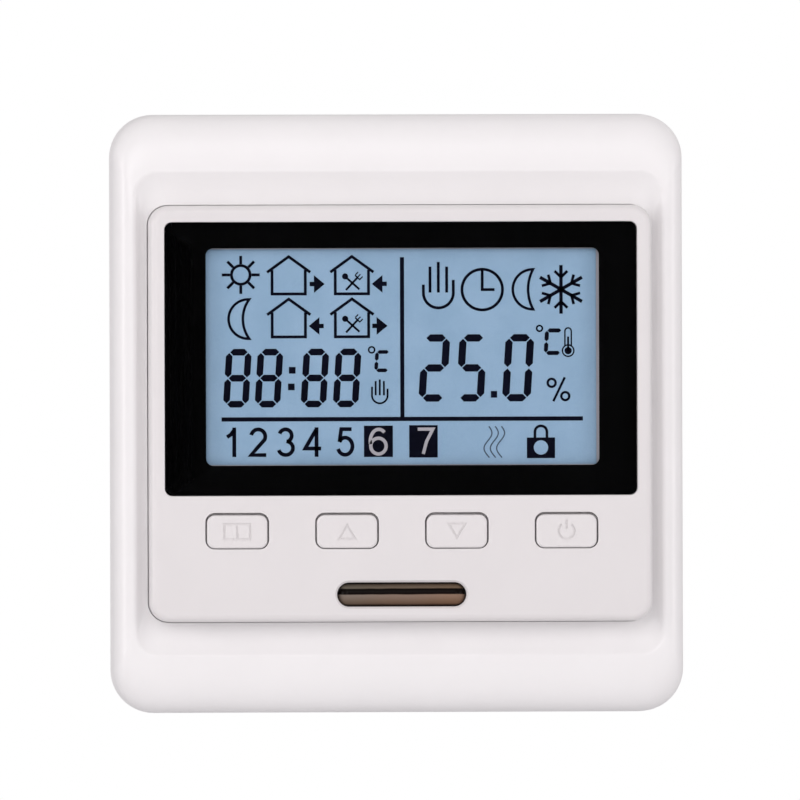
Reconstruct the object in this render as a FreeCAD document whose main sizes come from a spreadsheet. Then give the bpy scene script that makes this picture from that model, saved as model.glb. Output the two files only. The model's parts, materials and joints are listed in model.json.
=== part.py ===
import FreeCAD, Part
import math
import os
import re

import Sketcher

# Wall thermostat for a 60 mm flush wall box, in millimetres.
# +X is to the right and +Z up as seen from the room, and the front faces -Y.
# The wall is the plane Y = 0. Every depth below is measured from the wall towards the room,
# so a depth of 15 is Y = -15, and a negative depth lies inside the wall box.

DIMENSIONS = {
    # outer frame
    "frame_width": 86.0,
    "frame_height": 90.0,
    "frame_corner": 6.5,
    "frame_draft": 0.1,
    "frame_side_depth": 5.5,
    "frame_cavity_depth": 8.4,
    "frame_wall": 1.8,
    "crest_depth": 11.2,
    "crest_width": 79.2,
    "crest_height": 72.6,
    "crest_corner": 3.2,
    "crest_round": 0.8,
    "crown_power": 0.7,
    "valley_drop": 1.4,
    "valley_margin": 0.25,
    "skirt_wall": 1.5,
    "lip_depth": 3.2,
    "lip_thickness": 1.0,
    "lip_width": 1.2,
    "rib_thickness": 1.0,
    "rib_spacing": 22.0,
    "rib_overlap": 0.2,
    "cut_margin": 1.0,
    "vent_width": 1.2,
    "vent_height": 3.2,
    "vent_pitch": 3.0,
    "vent_depth": 3.2,
    "peg_radius": 1.0,
    "peg_x": 38.0,
    "peg_z": 20.0,
    "peg_end": 0.1,
    # front panel
    "panel_width": 75.45,
    "panel_height": 62.5,
    "panel_corner": 3.0,
    "panel_depth": 15.5,
    "panel_back": 4.4,
    "panel_wall": 1.6,
    "panel_face": 1.8,
    "panel_round": 1.1,
    "panel_gap": 0.12,
    # display
    "display_z": 8.2,
    "window_width": 70.95,
    "window_height": 41.0,
    "window_corner": 1.1,
    "window_thickness": 1.2,
    "window_gap": 0.08,
    "window_recess": 0.05,
    "window_round": 0.2,
    "window_seat": 2.4,
    "mask_thickness": 0.1,
    "view_width": 59.1,
    "view_height": 32.6,
    "view_x": 0.3,
    "view_z": 0.3,
    "view_corner": 1.1,
    "ledge_thickness": 1.3,
    "ledge_width": 63.0,
    "ledge_height": 36.4,
    "glass_width": 62.0,
    "glass_height": 36.0,
    "glass_overhang": 3.0,
    "glass_thickness": 0.7,
    "glass_air": 0.15,
    "holder_width": 64.6,
    "holder_height": 41.4,
    "holder_wall": 1.1,
    "guide_thickness": 1.9,
    "guide_gap": 0.2,
    "guide_inset": 1.0,
    "strip_height": 2.0,
    "strip_shift": 0.2,
    "led_thickness": 0.6,
    "led_width": 3.0,
    "led_height": 1.4,
    "led_inset": 0.55,
    "led_pitch": 10.0,
    # buttons and their switches
    "button_z": -17.6,
    "button_shift": 0.06,
    "button_pitch": 16.5,
    "button_width": 9.1,
    "button_height": 5.0,
    "button_corner": 1.2,
    "button_gap": 0.24,
    "button_drop": 0.12,
    "button_proud": 0.15,
    "button_round": 0.35,
    "button_flange": 0.8,
    "button_flange_thickness": 0.7,
    "post_radius": 1.5,
    "icon_line": 0.32,
    "icon_depth": 0.2,
    "icon_book_width": 4.2,
    "icon_book_height": 2.6,
    "icon_arrow_width": 3.0,
    "icon_arrow_height": 2.5,
    "icon_arrow_inner": 0.62,
    "icon_power_radius": 1.35,
    "icon_power_opening": 38.0,
    "icon_power_lift": 0.75,
    "switch_size": 6.0,
    "switch_height": 2.8,
    "switch_roof": 0.35,
    "switch_floor": 0.6,
    "switch_bore": 2.35,
    "plunger_radius": 1.65,
    "plunger_flange": 2.2,
    "plunger_flange_thickness": 0.95,
    "plunger_rise": 0.5,
    "plunger_gap": 0.1,
    "dome_radius": 2.1,
    "dome_top": 1.0,
    "dome_height": 0.75,
    "dome_thickness": 0.1,
    "dome_gap": 0.02,
    "dome_taper": 1.5,
    # lens and what is behind it
    "lens_x": 0.02,
    "lens_z": -27.18,
    "lens_width": 19.2,
    "lens_height": 3.4,
    "lens_gap": 0.12,
    "lens_proud": 0.15,
    "lens_round": 1.55,
    "lens_flange": 0.6,
    "lens_flange_thickness": 0.8,
    "lens_chamfer": 0.3,
    "lamp_x": 4.0,
    "lamp_radius": 0.95,
    "lamp_rim": 0.25,
    "lamp_height": 3.2,
    "lamp_base": 0.6,
    "sensor_x": -22.0,
    "sensor_radius": 0.9,
    "sensor_lead": 0.2,
    "sensor_lead_pitch": 1.0,
    "sensor_height": 2.4,
    # control board
    "board_thickness": 1.6,
    "control_board_depth": 7.1,
    "control_board_width": 71.6,
    "control_board_height": 58.4,
    "chip_size": 10.0,
    "chip_height": 1.5,
    "chip_gap": 0.15,
    "chip_x": -12.0,
    "chip_z": 8.0,
    "leg_width": 0.4,
    "leg_length": 1.1,
    "leg_pitch": 0.8,
    "leg_thickness": 0.3,
    "leg_overlap": 0.1,
    "battery_radius": 6.2,
    "battery_height": 1.9,
    "battery_round": 0.2,
    "battery_x": 15.0,
    "battery_z": 10.0,
    "small_part_width": 2.0,
    "small_part_height": 1.2,
    "small_part_thickness": 0.8,
    "small_part_x": -14.2,
    "small_part_pitch": 3.4,
    "small_part_low": -7.0,
    "small_part_row": 3.0,
    "header_height": 2.2,
    "pin_size": 0.64,
    "pin_pitch": 2.54,
    "pin_margin": 1.0,
    "pin_z": -18.8,
    "pin_end": -1.8,
    "pin_tail": 0.5,
    # module cover
    "cover_depth": 3.4,
    "cover_thickness": 1.2,
    "cover_width": 72.0,
    "cover_height": 59.0,
    "cover_corner": 2.0,
    "fixing_x": 34.1,
    "fixing_z": 26.8,
    "fixing_radius": 0.9,
    "fixing_head": 1.7,
    "fixing_head_height": 1.0,
    "fixing_length": 8.4,
    "boss_radius": 1.75,
    "boss_roof": 1.0,
    "screw_slot": 0.5,
    "cross_span": 1.3,
    "cross_depth": 0.5,
    # mounting plate and latch springs
    "plate_width": 80.4,
    "plate_height": 72.0,
    "plate_corner": 4.0,
    "plate_thickness": 1.2,
    "fixing_spacing": 60.0,
    "fixing_slot_width": 4.2,
    "fixing_slot_length": 8.0,
    "latch_x": 31.0,
    "latch_z": 14.0,
    "latch_width": 5.0,
    "latch_thickness": 0.4,
    "latch_height": 6.2,
    "latch_foot": 2.6,
    "latch_bulge": 0.9,
    "latch_bulge_height": 0.8,
    "latch_overlap": 0.01,
    "latch_slot": 1.6,
    "latch_play": 0.6,
    # rear housing
    "housing_width": 48.5,
    "housing_chamfer": 8.0,
    "housing_bottom": -27.5,
    "housing_wall": 1.6,
    "flange_width": 52.0,
    "flange_thickness": 1.2,
    "lid_thickness": 1.6,
    "lid_ledge": 0.9,
    "lid_gap": 0.1,
    "lid_leg_radius": 1.5,
    "lid_leg_place": 17.2,
    "plate_gap": 0.75,
    "rivet_place": 23.2,
    "rivet_radius": 1.1,
    "rivet_head": 1.9,
    "rivet_head_height": 0.8,
    "rivet_round": 0.4,
    "pillar_place": 18.2,
    "pillar_radius": 1.8,
    # power board and its parts
    "power_board_depth": -9.6,
    "power_board_width": 44.9,
    "power_board_chamfer": 7.2,
    "socket_width": 11.0,
    "socket_height": 5.6,
    "socket_front": 2.2,
    "socket_hole": 0.9,
    "socket_play": 0.4,
    "socket_corner": 0.4,
    "socket_floor": 0.5,
    "part_gap": 0.05,
    "film_width": 18.0,
    "film_height": 6.0,
    "film_length": 12.0,
    "film_corner": 0.8,
    "film_round": 0.6,
    "film_x": -9.0,
    "film_z": -6.0,
    "varistor_radius": 4.3,
    "varistor_thickness": 3.6,
    "varistor_lift": 1.2,
    "varistor_lead": 0.35,
    "varistor_lead_place": 2.5,
    "varistor_x": 5.2,
    "varistor_z": -4.2,
    "electrolytic_radius": 4.0,
    "electrolytic_length": 12.0,
    "electrolytic_round": 0.5,
    "electrolytic_x": 14.5,
    "electrolytic_z": -4.6,
    "fuse_radius": 1.8,
    "fuse_length": 12.0,
    "fuse_tube": 0.85,
    "fuse_cap": 2.6,
    "fuse_lead": 0.4,
    "fuse_lift": 0.2,
    "fuse_x": -8.0,
    "fuse_z": 2.2,
    # terminals
    "terminal_pitch": 5.08,
    "block_width": 31.2,
    "block_height": 10.5,
    "block_z": -17.15,
    "block_bottom": -27.2,
    "block_gap": 0.2,
    "chamber_width": 4.2,
    "chamber_height": 8.6,
    "chamber_z": -16.7,
    "chamber_bottom": -23.4,
    "terminal_z": -17.8,
    "entry_width": 3.4,
    "entry_low": -17.8,
    "entry_high": -14.4,
    "entry_margin": 0.4,
    "entry_tunnel": 2.4,
    "entry_inset": 0.9,
    "clamp_width": 3.9,
    "clamp_height": 5.6,
    "clamp_bottom": -20.4,
    "clamp_top": -13.4,
    "clamp_wall": 0.45,
    "clamp_nut": 1.5,
    "clamp_bar": 1.0,
    "terminal_head": 1.8,
    "terminal_head_height": 1.7,
    "terminal_slot_length": 4.0,
    "terminal_slot_depth": 0.7,
    "terminal_play": 0.12,
    "terminal_shank": 1.2,
    "terminal_shank_end": -18.8,
    "terminal_seat": -24.6,
    "thread_gap": 0.05,
    "tongue_width": 2.6,
    "tongue_depth": -17.8,
    "tongue_thickness": 0.8,
    "tongue_z": -16.6,
    "tongue_height": 8.0,
    # relay
    "relay_z": 12.4,
    "relay_width": 29.0,
    "relay_height": 12.7,
    "relay_length": 15.5,
    "relay_wall": 0.8,
    "relay_base_thickness": 1.6,
    "coil_radius": 3.9,
    "coil_flange": 4.4,
    "coil_left": -10.4,
    "coil_right": 3.4,
    "coil_depth": -17.2,
    "coil_flange_thickness": 0.9,
    "core_radius": 1.7,
    "core_end": 4.3,
    "yoke_width": 8.6,
    "yoke_left": -12.2,
    "yoke_thickness": 1.1,
    "yoke_depth": -21.7,
    "yoke_end": 5.0,
    "armature_left": 5.15,
    "armature_thickness": 1.1,
    "armature_bottom": -22.6,
    "armature_top": -15.3,
    "blade_left": 7.6,
    "blade_thickness": 0.3,
    "blade_width": 4.0,
    "blade_top": -12.7,
    "blade_link": 1.0,
    "contact_depth": -13.8,
    "contact_radius": 0.9,
    "contact_reach": 0.5,
    "contact_opening": 0.7,
    "post_thickness": 0.6,
    "post_margin": 0.4,
}

BUTTONS_ACROSS = 4
TERMINALS = 6
PINS_ACROSS = 4
PIN_ROWS = 2
VENTS = 9
CHIP_LEGS = 11
SMALL_PARTS = 7
FRAME_STATIONS = (0, 12.7, 33.2, 53.6, 70.2, 82.7, 90)
VALLEY_STATIONS = (0.0, 0.3, 0.65, 1.0)
TOUCH = 1e-4
# how much an octagon's chamfer shortens for each millimetre its walls move in
CHAMFER_INSET = 2 - math.sqrt(2)

doc = FreeCAD.newDocument("wall_thermostat")
sheet = doc.addObject("Spreadsheet::Sheet", "Dimensions")
sub_parts = []


def fill_sheet():
    """One row per driving dimension: its name, its value and the alias that formulas use."""
    for row, (alias, value) in enumerate(DIMENSIONS.items(), start=1):
        sheet.set(f"A{row}", alias.replace("_", " "))
        sheet.set(f"B{row}", str(value))
        sheet.setAlias(f"B{row}", alias)
    doc.recompute()


def formula(text):
    """The expression with each alias pointing at the spreadsheet."""
    return re.sub(r"[a-z][a-z_]*", lambda word: point_at_sheet(word.group()), str(text))


def point_at_sheet(word):
    return f"Dimensions.{word}" if word in DIMENSIONS else word


def size(text):
    """The present value of an expression, in millimetres."""
    return float(sheet.evalExpression(str(text)))


def move(item, x="0", depth="0", z="0"):
    """Binds an object's place: across, forward from the wall, and up."""
    item.setExpression("Placement.Base.x", formula(x))
    item.setExpression("Placement.Base.y", formula(f"-({depth})"))
    item.setExpression("Placement.Base.z", formula(z))


def keep(item, label):
    """Names a finished sub-part and lists it for export."""
    item.Label = label
    sub_parts.append(item)
    return item


# ---- outlines, drawn in a plane parallel to the wall -------------------------------------------


def measure(sketch, kind, where, text):
    """Adds a dimension to a sketch and binds it to the sheet."""
    index = sketch.addConstraint(Sketcher.Constraint(kind, *where, size(text)))
    sketch.setExpression(f"Constraints[{index}]", formula(text))


def pin_down(sketch, geometry, point, x, z):
    measure(sketch, "DistanceX", (-1, 1, geometry, point), x)
    measure(sketch, "DistanceY", (-1, 1, geometry, point), z)


def line(sketch, start, end):
    return sketch.addGeometry(
        Part.LineSegment(FreeCAD.Vector(*start, 0), FreeCAD.Vector(*end, 0))
    )


def arc(sketch, centre, radius, start, end):
    """An arc from start to end, in degrees anticlockwise from the sketch's X."""
    circle = Part.Circle(FreeCAD.Vector(*centre, 0), FreeCAD.Vector(0, 0, 1), radius)
    return sketch.addGeometry(
        Part.ArcOfCircle(circle, math.radians(start), math.radians(end))
    )


def polygon(*corners):
    """A closed outline through corners, each an (x, z) pair of expressions."""

    def draw(sketch):
        places = [(size(x), size(z)) for x, z in corners]
        count = len(corners)
        edges = [line(sketch, places[i], places[(i + 1) % count]) for i in range(count)]
        for i, (x, z) in enumerate(corners):
            sketch.addConstraint(
                Sketcher.Constraint("Coincident", edges[i - 1], 2, edges[i], 1)
            )
            pin_down(sketch, edges[i], 1, x, z)

    return draw


def rectangle(width, height, x="0", z="0"):
    left, right = f"{x} - ({width}) / 2", f"{x} + ({width}) / 2"
    low, high = f"{z} - ({height}) / 2", f"{z} + ({height}) / 2"
    return polygon((left, low), (right, low), (right, high), (left, high))


def octagon(width, chamfer):
    """A square with its four corners cut off at 45 degrees."""
    far, near = f"({width}) / 2", f"(({width}) / 2 - ({chamfer}))"
    return polygon(
        (f"-{near}", f"-({far})"),
        (near, f"-({far})"),
        (far, f"-{near}"),
        (far, near),
        (near, far),
        (f"-{near}", far),
        (f"-({far})", near),
        (f"-({far})", f"-{near}"),
    )


def rounded(width, height, corner, x="0", z="0"):
    """A rectangle with round corners, centred at (x, z)."""

    def draw(sketch):
        reach = size(f"({width}) / 2")
        rise = size(f"({height}) / 2")
        radius = size(corner)
        middle = (size(x), size(z))
        edges = []
        for turn in range(4):
            angle = 90 * turn
            along, out = (rise, reach) if turn % 2 == 0 else (reach, rise)
            edges.append(
                line(
                    sketch,
                    turned(middle, out, -(along - radius), angle),
                    turned(middle, out, along - radius, angle),
                )
            )
            centre = turned(middle, out - radius, along - radius, angle)
            edges.append(arc(sketch, centre, radius, angle, angle + 90))
        for i in range(8):
            sketch.addConstraint(
                Sketcher.Constraint("Tangent", edges[i - 1], 2, edges[i], 1)
            )
        sketch.addConstraint(Sketcher.Constraint("Vertical", edges[0]))
        sketch.addConstraint(Sketcher.Constraint("Horizontal", edges[2]))
        for i in (3, 5, 7):
            sketch.addConstraint(Sketcher.Constraint("Equal", edges[1], edges[i]))
        measure(sketch, "Radius", (edges[1],), corner)
        pin_down(
            sketch,
            edges[1],
            3,
            f"{x} + ({width}) / 2 - ({corner})",
            f"{z} + ({height}) / 2 - ({corner})",
        )
        pin_down(
            sketch,
            edges[5],
            3,
            f"{x} - ({width}) / 2 + ({corner})",
            f"{z} - ({height}) / 2 + ({corner})",
        )

    return draw


def turned(middle, out, along, degrees):
    """The point out from the middle and along to its left, in axes turned by degrees."""
    c, s = math.cos(math.radians(degrees)), math.sin(math.radians(degrees))
    return (middle[0] + out * c - along * s, middle[1] + out * s + along * c)


def capsule(length, width, x="0", z="0", upright=False):
    """A slot with full round ends: length end to end, width across."""

    def draw(sketch):
        radius = size(f"({width}) / 2")
        reach = size(f"({length} - ({width})) / 2")
        middle = (size(x), size(z))
        tilt = 90 if upright else 0
        ends = [turned(middle, reach, 0, tilt), turned(middle, -reach, 0, tilt)]
        corners = [
            turned(middle, sign_x * reach, sign_z * radius, tilt)
            for sign_x, sign_z in ((-1, -1), (1, -1), (1, 1), (-1, 1))
        ]
        edges = [
            line(sketch, corners[0], corners[1]),
            arc(sketch, ends[0], radius, tilt - 90, tilt + 90),
            line(sketch, corners[2], corners[3]),
            arc(sketch, ends[1], radius, tilt + 90, tilt + 270),
        ]
        for i in range(4):
            sketch.addConstraint(
                Sketcher.Constraint("Tangent", edges[i - 1], 2, edges[i], 1)
            )
        sketch.addConstraint(Sketcher.Constraint("Equal", edges[1], edges[3]))
        measure(sketch, "Radius", (edges[1],), f"({width}) / 2")
        offset = f"({length} - ({width})) / 2"
        far_x, far_z = (x, f"{z} + {offset}") if upright else (f"{x} + {offset}", z)
        near_x, near_z = (x, f"{z} - {offset}") if upright else (f"{x} - {offset}", z)
        pin_down(sketch, edges[1], 3, far_x, far_z)
        pin_down(sketch, edges[3], 3, near_x, near_z)

    return draw


def disc(radius, x="0", z="0"):
    def draw(sketch):
        centre = FreeCAD.Vector(size(x), size(z), 0)
        circle = sketch.addGeometry(
            Part.Circle(centre, FreeCAD.Vector(0, 0, 1), size(radius))
        )
        measure(sketch, "Radius", (circle,), radius)
        pin_down(sketch, circle, 3, x, z)

    return draw


def open_ring(outer, inner, opening):
    """A ring with a gap at its top: opening is the half angle of the gap, in degrees."""

    def draw(sketch):
        start, end = 90 + size(opening), 450 - size(opening)
        arcs = [arc(sketch, (0, 0), size(r), start, end) for r in (outer, inner)]
        ends = []
        for angle in (start, end):
            c, s = math.cos(math.radians(angle)), math.sin(math.radians(angle))
            ends.append(
                line(
                    sketch,
                    (c * size(outer), s * size(outer)),
                    (c * size(inner), s * size(inner)),
                )
            )
        for ring, radius in zip(arcs, (outer, inner)):
            sketch.addConstraint(Sketcher.Constraint("Coincident", ring, 3, -1, 1))
            measure(sketch, "Radius", (ring,), radius)
        for side, edge in enumerate(ends, start=1):
            for point, ring in enumerate(arcs, start=1):
                sketch.addConstraint(
                    Sketcher.Constraint("Coincident", edge, point, ring, side)
                )
            sketch.addConstraint(Sketcher.Constraint("PointOnObject", -1, 1, edge))
        reach = f"({outer}) * sin({opening} * 1deg)"
        measure(sketch, "DistanceX", (-1, 1, arcs[0], 1), f"-{reach}")
        measure(sketch, "DistanceX", (-1, 1, arcs[0], 2), reach)

    return draw


# ---- bodies built in layers parallel to the wall -----------------------------------------------


class Layers:
    """A PartDesign body made of pads and pockets, each between two depths from the wall."""

    def __init__(self, label, x="0", depth="0", z="0"):
        self.body = doc.addObject("PartDesign::Body", label)
        self.body.AllowCompound = True
        move(self.body, x, depth, z)
        keep(self.body, label)
        features = self.body.Origin.OriginFeatures
        self.wall = next(o for o in features if o.Role == "XZ_Plane")

    def sketch(self, depth, *outlines):
        drawn = self.body.newObject("Sketcher::SketchObject", "Outline")
        drawn.AttachmentSupport = (self.wall, [""])
        drawn.MapMode = "FlatFace"
        drawn.setExpression("AttachmentOffset.Base.z", formula(depth))
        for draw in outlines:
            draw(drawn)
        return drawn

    def pad(self, low, high, *outlines):
        """Adds material between two depths."""
        profile = self.sketch(low, *outlines)
        return self.extrude("PartDesign::Pad", profile, low, high)

    def cut(self, low, high, *outlines):
        """Takes material away between two depths."""
        profile = self.sketch(high, *outlines)
        return self.extrude("PartDesign::Pocket", profile, low, high)

    def extrude(self, kind, profile, low, high):
        feature = self.body.newObject(kind, "Layer")
        feature.Profile = profile
        feature.setExpression("Length", formula(f"({high}) - ({low})"))
        self.latest = feature
        return self

    def repeat(self, axis, pitch, count):
        """Repeats the latest feature along an axis of its own sketch."""
        feature = self.body.newObject("PartDesign::LinearPattern", "Row")
        feature.Originals = [self.latest]
        feature.Direction = (self.latest.Profile[0], [axis])
        feature.setExpression("Length", formula(f"{pitch} * {count - 1}"))
        feature.Occurrences = count
        self.body.Tip = feature
        return self

    def loft(self, kind, *sections):
        """Joins outlines at successive depths smoothly; a section is (depth, outline)."""
        drawn = [self.sketch(depth, outline) for depth, outline in sections]
        feature = self.body.newObject(kind, "Loft")
        feature.Profile = drawn[0]
        feature.Sections = drawn[1:]
        return self

    def round_off(self, radius, chosen, kind="PartDesign::Fillet"):
        """Rounds, or chamfers, every edge that chosen(edge) picks."""
        doc.recompute()
        tip = self.body.Tip
        names = [f"Edge{i}" for i, e in enumerate(tip.Shape.Edges, 1) if chosen(e)]
        feature = self.body.newObject(kind, "Edges")
        feature.Base = (tip, names)
        feature.setExpression(
            "Radius" if kind.endswith("Fillet") else "Size", formula(radius)
        )
        return self


def at_depth(depth):
    """Picks the edges that lie at a depth."""
    y = -size(depth)

    def chosen(edge):
        box = edge.BoundBox
        return abs(box.YMin - y) < TOUCH and abs(box.YMax - y) < TOUCH

    return chosen


# ---- single primitives -------------------------------------------------------------------------


def block(width, height, low, high, x="0", z="0"):
    """A box centred at (x, z) between two depths."""
    item = doc.addObject("Part::Box", "Block")
    item.setExpression("Length", formula(width))
    item.setExpression("Width", formula(f"({high}) - ({low})"))
    item.setExpression("Height", formula(height))
    move(item, f"{x} - ({width}) / 2", high, f"{z} - ({height}) / 2")
    return item


def cross_rod(radius, left, right, depth, z):
    """A cylinder along X."""
    item = doc.addObject("Part::Cylinder", "Rod")
    item.setExpression("Radius", formula(radius))
    item.setExpression("Height", formula(f"({right}) - ({left})"))
    item.Placement.Rotation = FreeCAD.Rotation(FreeCAD.Vector(0, 1, 0), 90)
    move(item, left, depth, z)
    return item


def forward_rod(radius, low, high, x="0", z="0"):
    """A cylinder that points out of the wall."""
    item = doc.addObject("Part::Cylinder", "Rod")
    item.setExpression("Radius", formula(radius))
    item.setExpression("Height", formula(f"({high}) - ({low})"))
    item.Placement.Rotation = FreeCAD.Rotation(FreeCAD.Vector(1, 0, 0), 90)
    move(item, x, low, z)
    return item


def forward_cone(base, tip, low, high, x="0", z="0"):
    """A cone that points out of the wall."""
    item = doc.addObject("Part::Cone", "Cone")
    item.setExpression("Radius1", formula(base))
    item.setExpression("Radius2", formula(tip))
    item.setExpression("Height", formula(f"({high}) - ({low})"))
    item.Placement.Rotation = FreeCAD.Rotation(FreeCAD.Vector(1, 0, 0), 90)
    move(item, x, low, z)
    return item


def ball(radius, x, depth, z):
    item = doc.addObject("Part::Sphere", "Ball")
    item.setExpression("Radius", formula(radius))
    move(item, x, depth, z)
    return item


def fused(*members):
    item = doc.addObject("Part::MultiFuse", "Joined")
    item.Shapes = list(members)
    return item


def less(base, *tools):
    """The base with the tools taken out of it."""
    item = doc.addObject("Part::Cut", "Less")
    item.Base = base
    item.Tool = tools[0] if len(tools) == 1 else fused(*tools)
    return item


def group(*members):
    """Separate solids that share one node."""
    item = doc.addObject("Part::Compound", "Group")
    item.Links = list(members)
    return item


# ---- places that repeat ------------------------------------------------------------------------


def mirrored(x, z):
    """The four places (+-x, +-z)."""
    return [(f"{a}({x})", f"{b}({z})") for a in ("", "-") for b in ("", "-")]


def terminal_x(number):
    """The middle of a terminal, numbered from 1 at the left."""
    return f"{number - (TERMINALS + 1) / 2} * terminal_pitch"


def pin_places():
    """The contacts of the plug, two rows of them."""
    across = [f"{i - (PINS_ACROSS - 1) / 2} * pin_pitch" for i in range(PINS_ACROSS)]
    return [(x, f"pin_z + {row} * pin_pitch") for x in across for row in (-0.5, 0.5)]


def button_x(place):
    """The middle of a button; place counts from 0 at the left."""
    return f"(button_shift + {place - (BUTTONS_ACROSS - 1) / 2} * button_pitch)"


# ---- outer frame -------------------------------------------------------------------------------


def frame_section(angle):
    """The frame's outline at a station from its side (0 degrees) to its crest (90 degrees)."""
    power = size("crown_power")
    rise = math.sin(math.radians(angle)) ** power
    inward = 1 - math.cos(math.radians(angle)) ** power if angle < 90 else 1
    depth = f"frame_side_depth + (crest_depth - frame_side_depth) * {rise:.4f}"
    wide = "(frame_width - 2 * frame_draft)"
    tall = "(frame_height - 2 * frame_draft)"
    return (
        depth,
        rounded(
            f"{wide} - ({wide} - crest_width) * {inward:.4f}",
            f"{tall} - ({tall} - crest_height) * {inward:.4f}",
            f"frame_corner - (frame_corner - crest_corner) * {inward:.4f}",
        ),
    )


def valley_section(share):
    """The hollow between crest and panel, from the crest (0) to its floor (1)."""
    drop = 1 - (1 - share) ** 2
    floor_width = "(panel_width + 2 * panel_gap + 2 * valley_margin)"
    floor_height = "(panel_height + 2 * panel_gap + 2 * valley_margin)"
    return (
        f"crest_depth - valley_drop * {drop:.4f}",
        rounded(
            f"crest_width - (crest_width - {floor_width}) * {share}",
            f"crest_height - (crest_height - {floor_height}) * {share}",
            "crest_corner",
        ),
    )


def outer_frame():
    """The white surround: a domed rim, a shallow valley round the panel, and a hollow back."""
    opening = ("panel_width + 2 * panel_gap", "panel_height + 2 * panel_gap")
    corner = "panel_corner + panel_gap"
    skirt = rounded(
        f"{opening[0]} + 2 * skirt_wall",
        f"{opening[1]} + 2 * skirt_wall",
        f"{corner} + skirt_wall",
    )
    inner = rounded(
        "frame_width - 2 * frame_wall",
        "frame_height - 2 * frame_wall",
        "frame_corner - frame_wall",
    )
    sides = (
        "0",
        rounded("frame_width", "frame_height", "frame_corner"),
    )
    frame = Layers("outer_frame")
    frame.loft("PartDesign::AdditiveLoft", sides, frame_section(0))
    frame.loft("PartDesign::AdditiveLoft", *[frame_section(a) for a in FRAME_STATIONS])
    frame.loft(
        "PartDesign::SubtractiveLoft", *[valley_section(s) for s in VALLEY_STATIONS]
    )
    frame.round_off("crest_round", at_depth("crest_depth"))
    frame.cut("0", "lip_depth", inner)
    frame.cut("lip_depth", "frame_cavity_depth", inner, skirt)
    frame.cut(
        "lip_depth + lip_thickness", "crest_depth", rounded(*opening, corner)
    )
    frame.cut(
        "0",
        "crest_depth",
        rounded(
            f"{opening[0]} - 2 * lip_width",
            f"{opening[1]} - 2 * lip_width",
            f"{corner} - lip_width",
        ),
    )
    add_frame_ribs(frame)
    cut_vents(frame)
    pegs = [disc("peg_radius", x, z) for x, z in mirrored("peg_x", "peg_z")]
    frame.pad("peg_end", "lip_depth", *pegs)
    return frame


def add_frame_ribs(frame):
    """Thin ribs across the hollow above and below the panel."""
    top = "(frame_height / 2 - frame_wall)"
    bottom = "(panel_height / 2 + panel_gap + skirt_wall)"
    ribs = []
    for side in ("", "-"):
        for place in (-1, 0, 1):
            ribs.append(
                rectangle(
                    "rib_thickness",
                    f"{top} - {bottom} + rib_overlap",
                    f"{place} * rib_spacing",
                    f"{side}(({top} + {bottom}) / 2)",
                )
            )
    frame.pad("lip_depth + lip_thickness", "frame_cavity_depth + rib_overlap", *ribs)


def cut_vents(frame):
    """Air slots through the bottom edge, near the air sensor, and matching ones in the top edge."""
    first = f"-{(VENTS - 1) / 2} * vent_pitch"
    edge = "(frame_height / 2 - frame_wall / 2)"
    slots = [
        rectangle("vent_width", "frame_wall + cut_margin", first, f"{side}{edge}")
        for side in ("", "-")
    ]
    frame.cut("vent_depth - vent_height / 2", "vent_depth + vent_height / 2", *slots)
    frame.repeat("H_Axis", "vent_pitch", VENTS)


# ---- front panel and display -------------------------------------------------------------------


def front_panel():
    """The control module's front shell, with the window rebate, button holes and lens slot."""
    panel = Layers("front_panel")
    outside = rounded("panel_width", "panel_height", "panel_corner")
    inside = rounded(
        "panel_width - 2 * panel_wall",
        "panel_height - 2 * panel_wall",
        "panel_corner - panel_wall",
    )
    floor = "panel_depth - window_recess - window_thickness - mask_thickness"
    panel.pad("panel_back", "panel_depth", outside)
    panel.round_off("panel_round", at_depth("panel_depth"))
    panel.cut("panel_back", "panel_depth - panel_face", inside)
    panel.pad(
        f"{floor} - ledge_thickness",
        "panel_depth - panel_face",
        rounded(
            "panel_width - 2 * panel_wall",
            "window_height + window_seat",
            "window_corner",
            z="display_z",
        ),
    )
    panel.cut(
        floor,
        "panel_depth",
        rounded(
            "window_width + 2 * window_gap",
            "window_height + 2 * window_gap",
            "window_corner + window_gap",
            z="display_z",
        ),
    )
    panel.cut(
        f"{floor} - ledge_thickness",
        floor,
        rounded("ledge_width", "ledge_height", "view_corner", z="display_z"),
    )
    holes = [
        rounded(
            "button_width + 2 * button_gap",
            "button_height + 2 * button_gap",
            "button_corner + button_gap",
            button_x(i),
            "button_z",
        )
        for i in range(BUTTONS_ACROSS)
    ]
    panel.cut("panel_depth - panel_face", "panel_depth", *holes)
    panel.cut(
        "panel_depth - panel_face",
        "panel_depth",
        capsule(
            "lens_width + 2 * lens_gap", "lens_height + 2 * lens_gap", "lens_x", "lens_z"
        ),
    )
    panel.round_off(
        "lens_chamfer", lens_rim("panel_depth"), kind="PartDesign::Chamfer"
    )
    boss_foot = "control_board_depth + board_thickness + part_gap"
    bosses = [disc("boss_radius", x, z) for x, z in mirrored("fixing_x", "fixing_z")]
    pilots = [
        disc("fixing_radius + thread_gap", x, z)
        for x, z in mirrored("fixing_x", "fixing_z")
    ]
    panel.pad(boss_foot, "panel_depth - panel_face", *bosses)
    panel.cut(boss_foot, "panel_depth - panel_face - boss_roof", *pilots)
    return panel


def lens_rim(depth):
    """Picks the edges of the lens slot at a depth."""
    low = size("lens_z - lens_height")
    high = size("lens_z + lens_height")
    reach = size("lens_width")
    flat = at_depth(depth)

    def chosen(edge):
        box = edge.BoundBox
        return flat(edge) and box.ZMin > low and box.ZMax < high and abs(box.XMax) < reach

    return chosen


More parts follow.
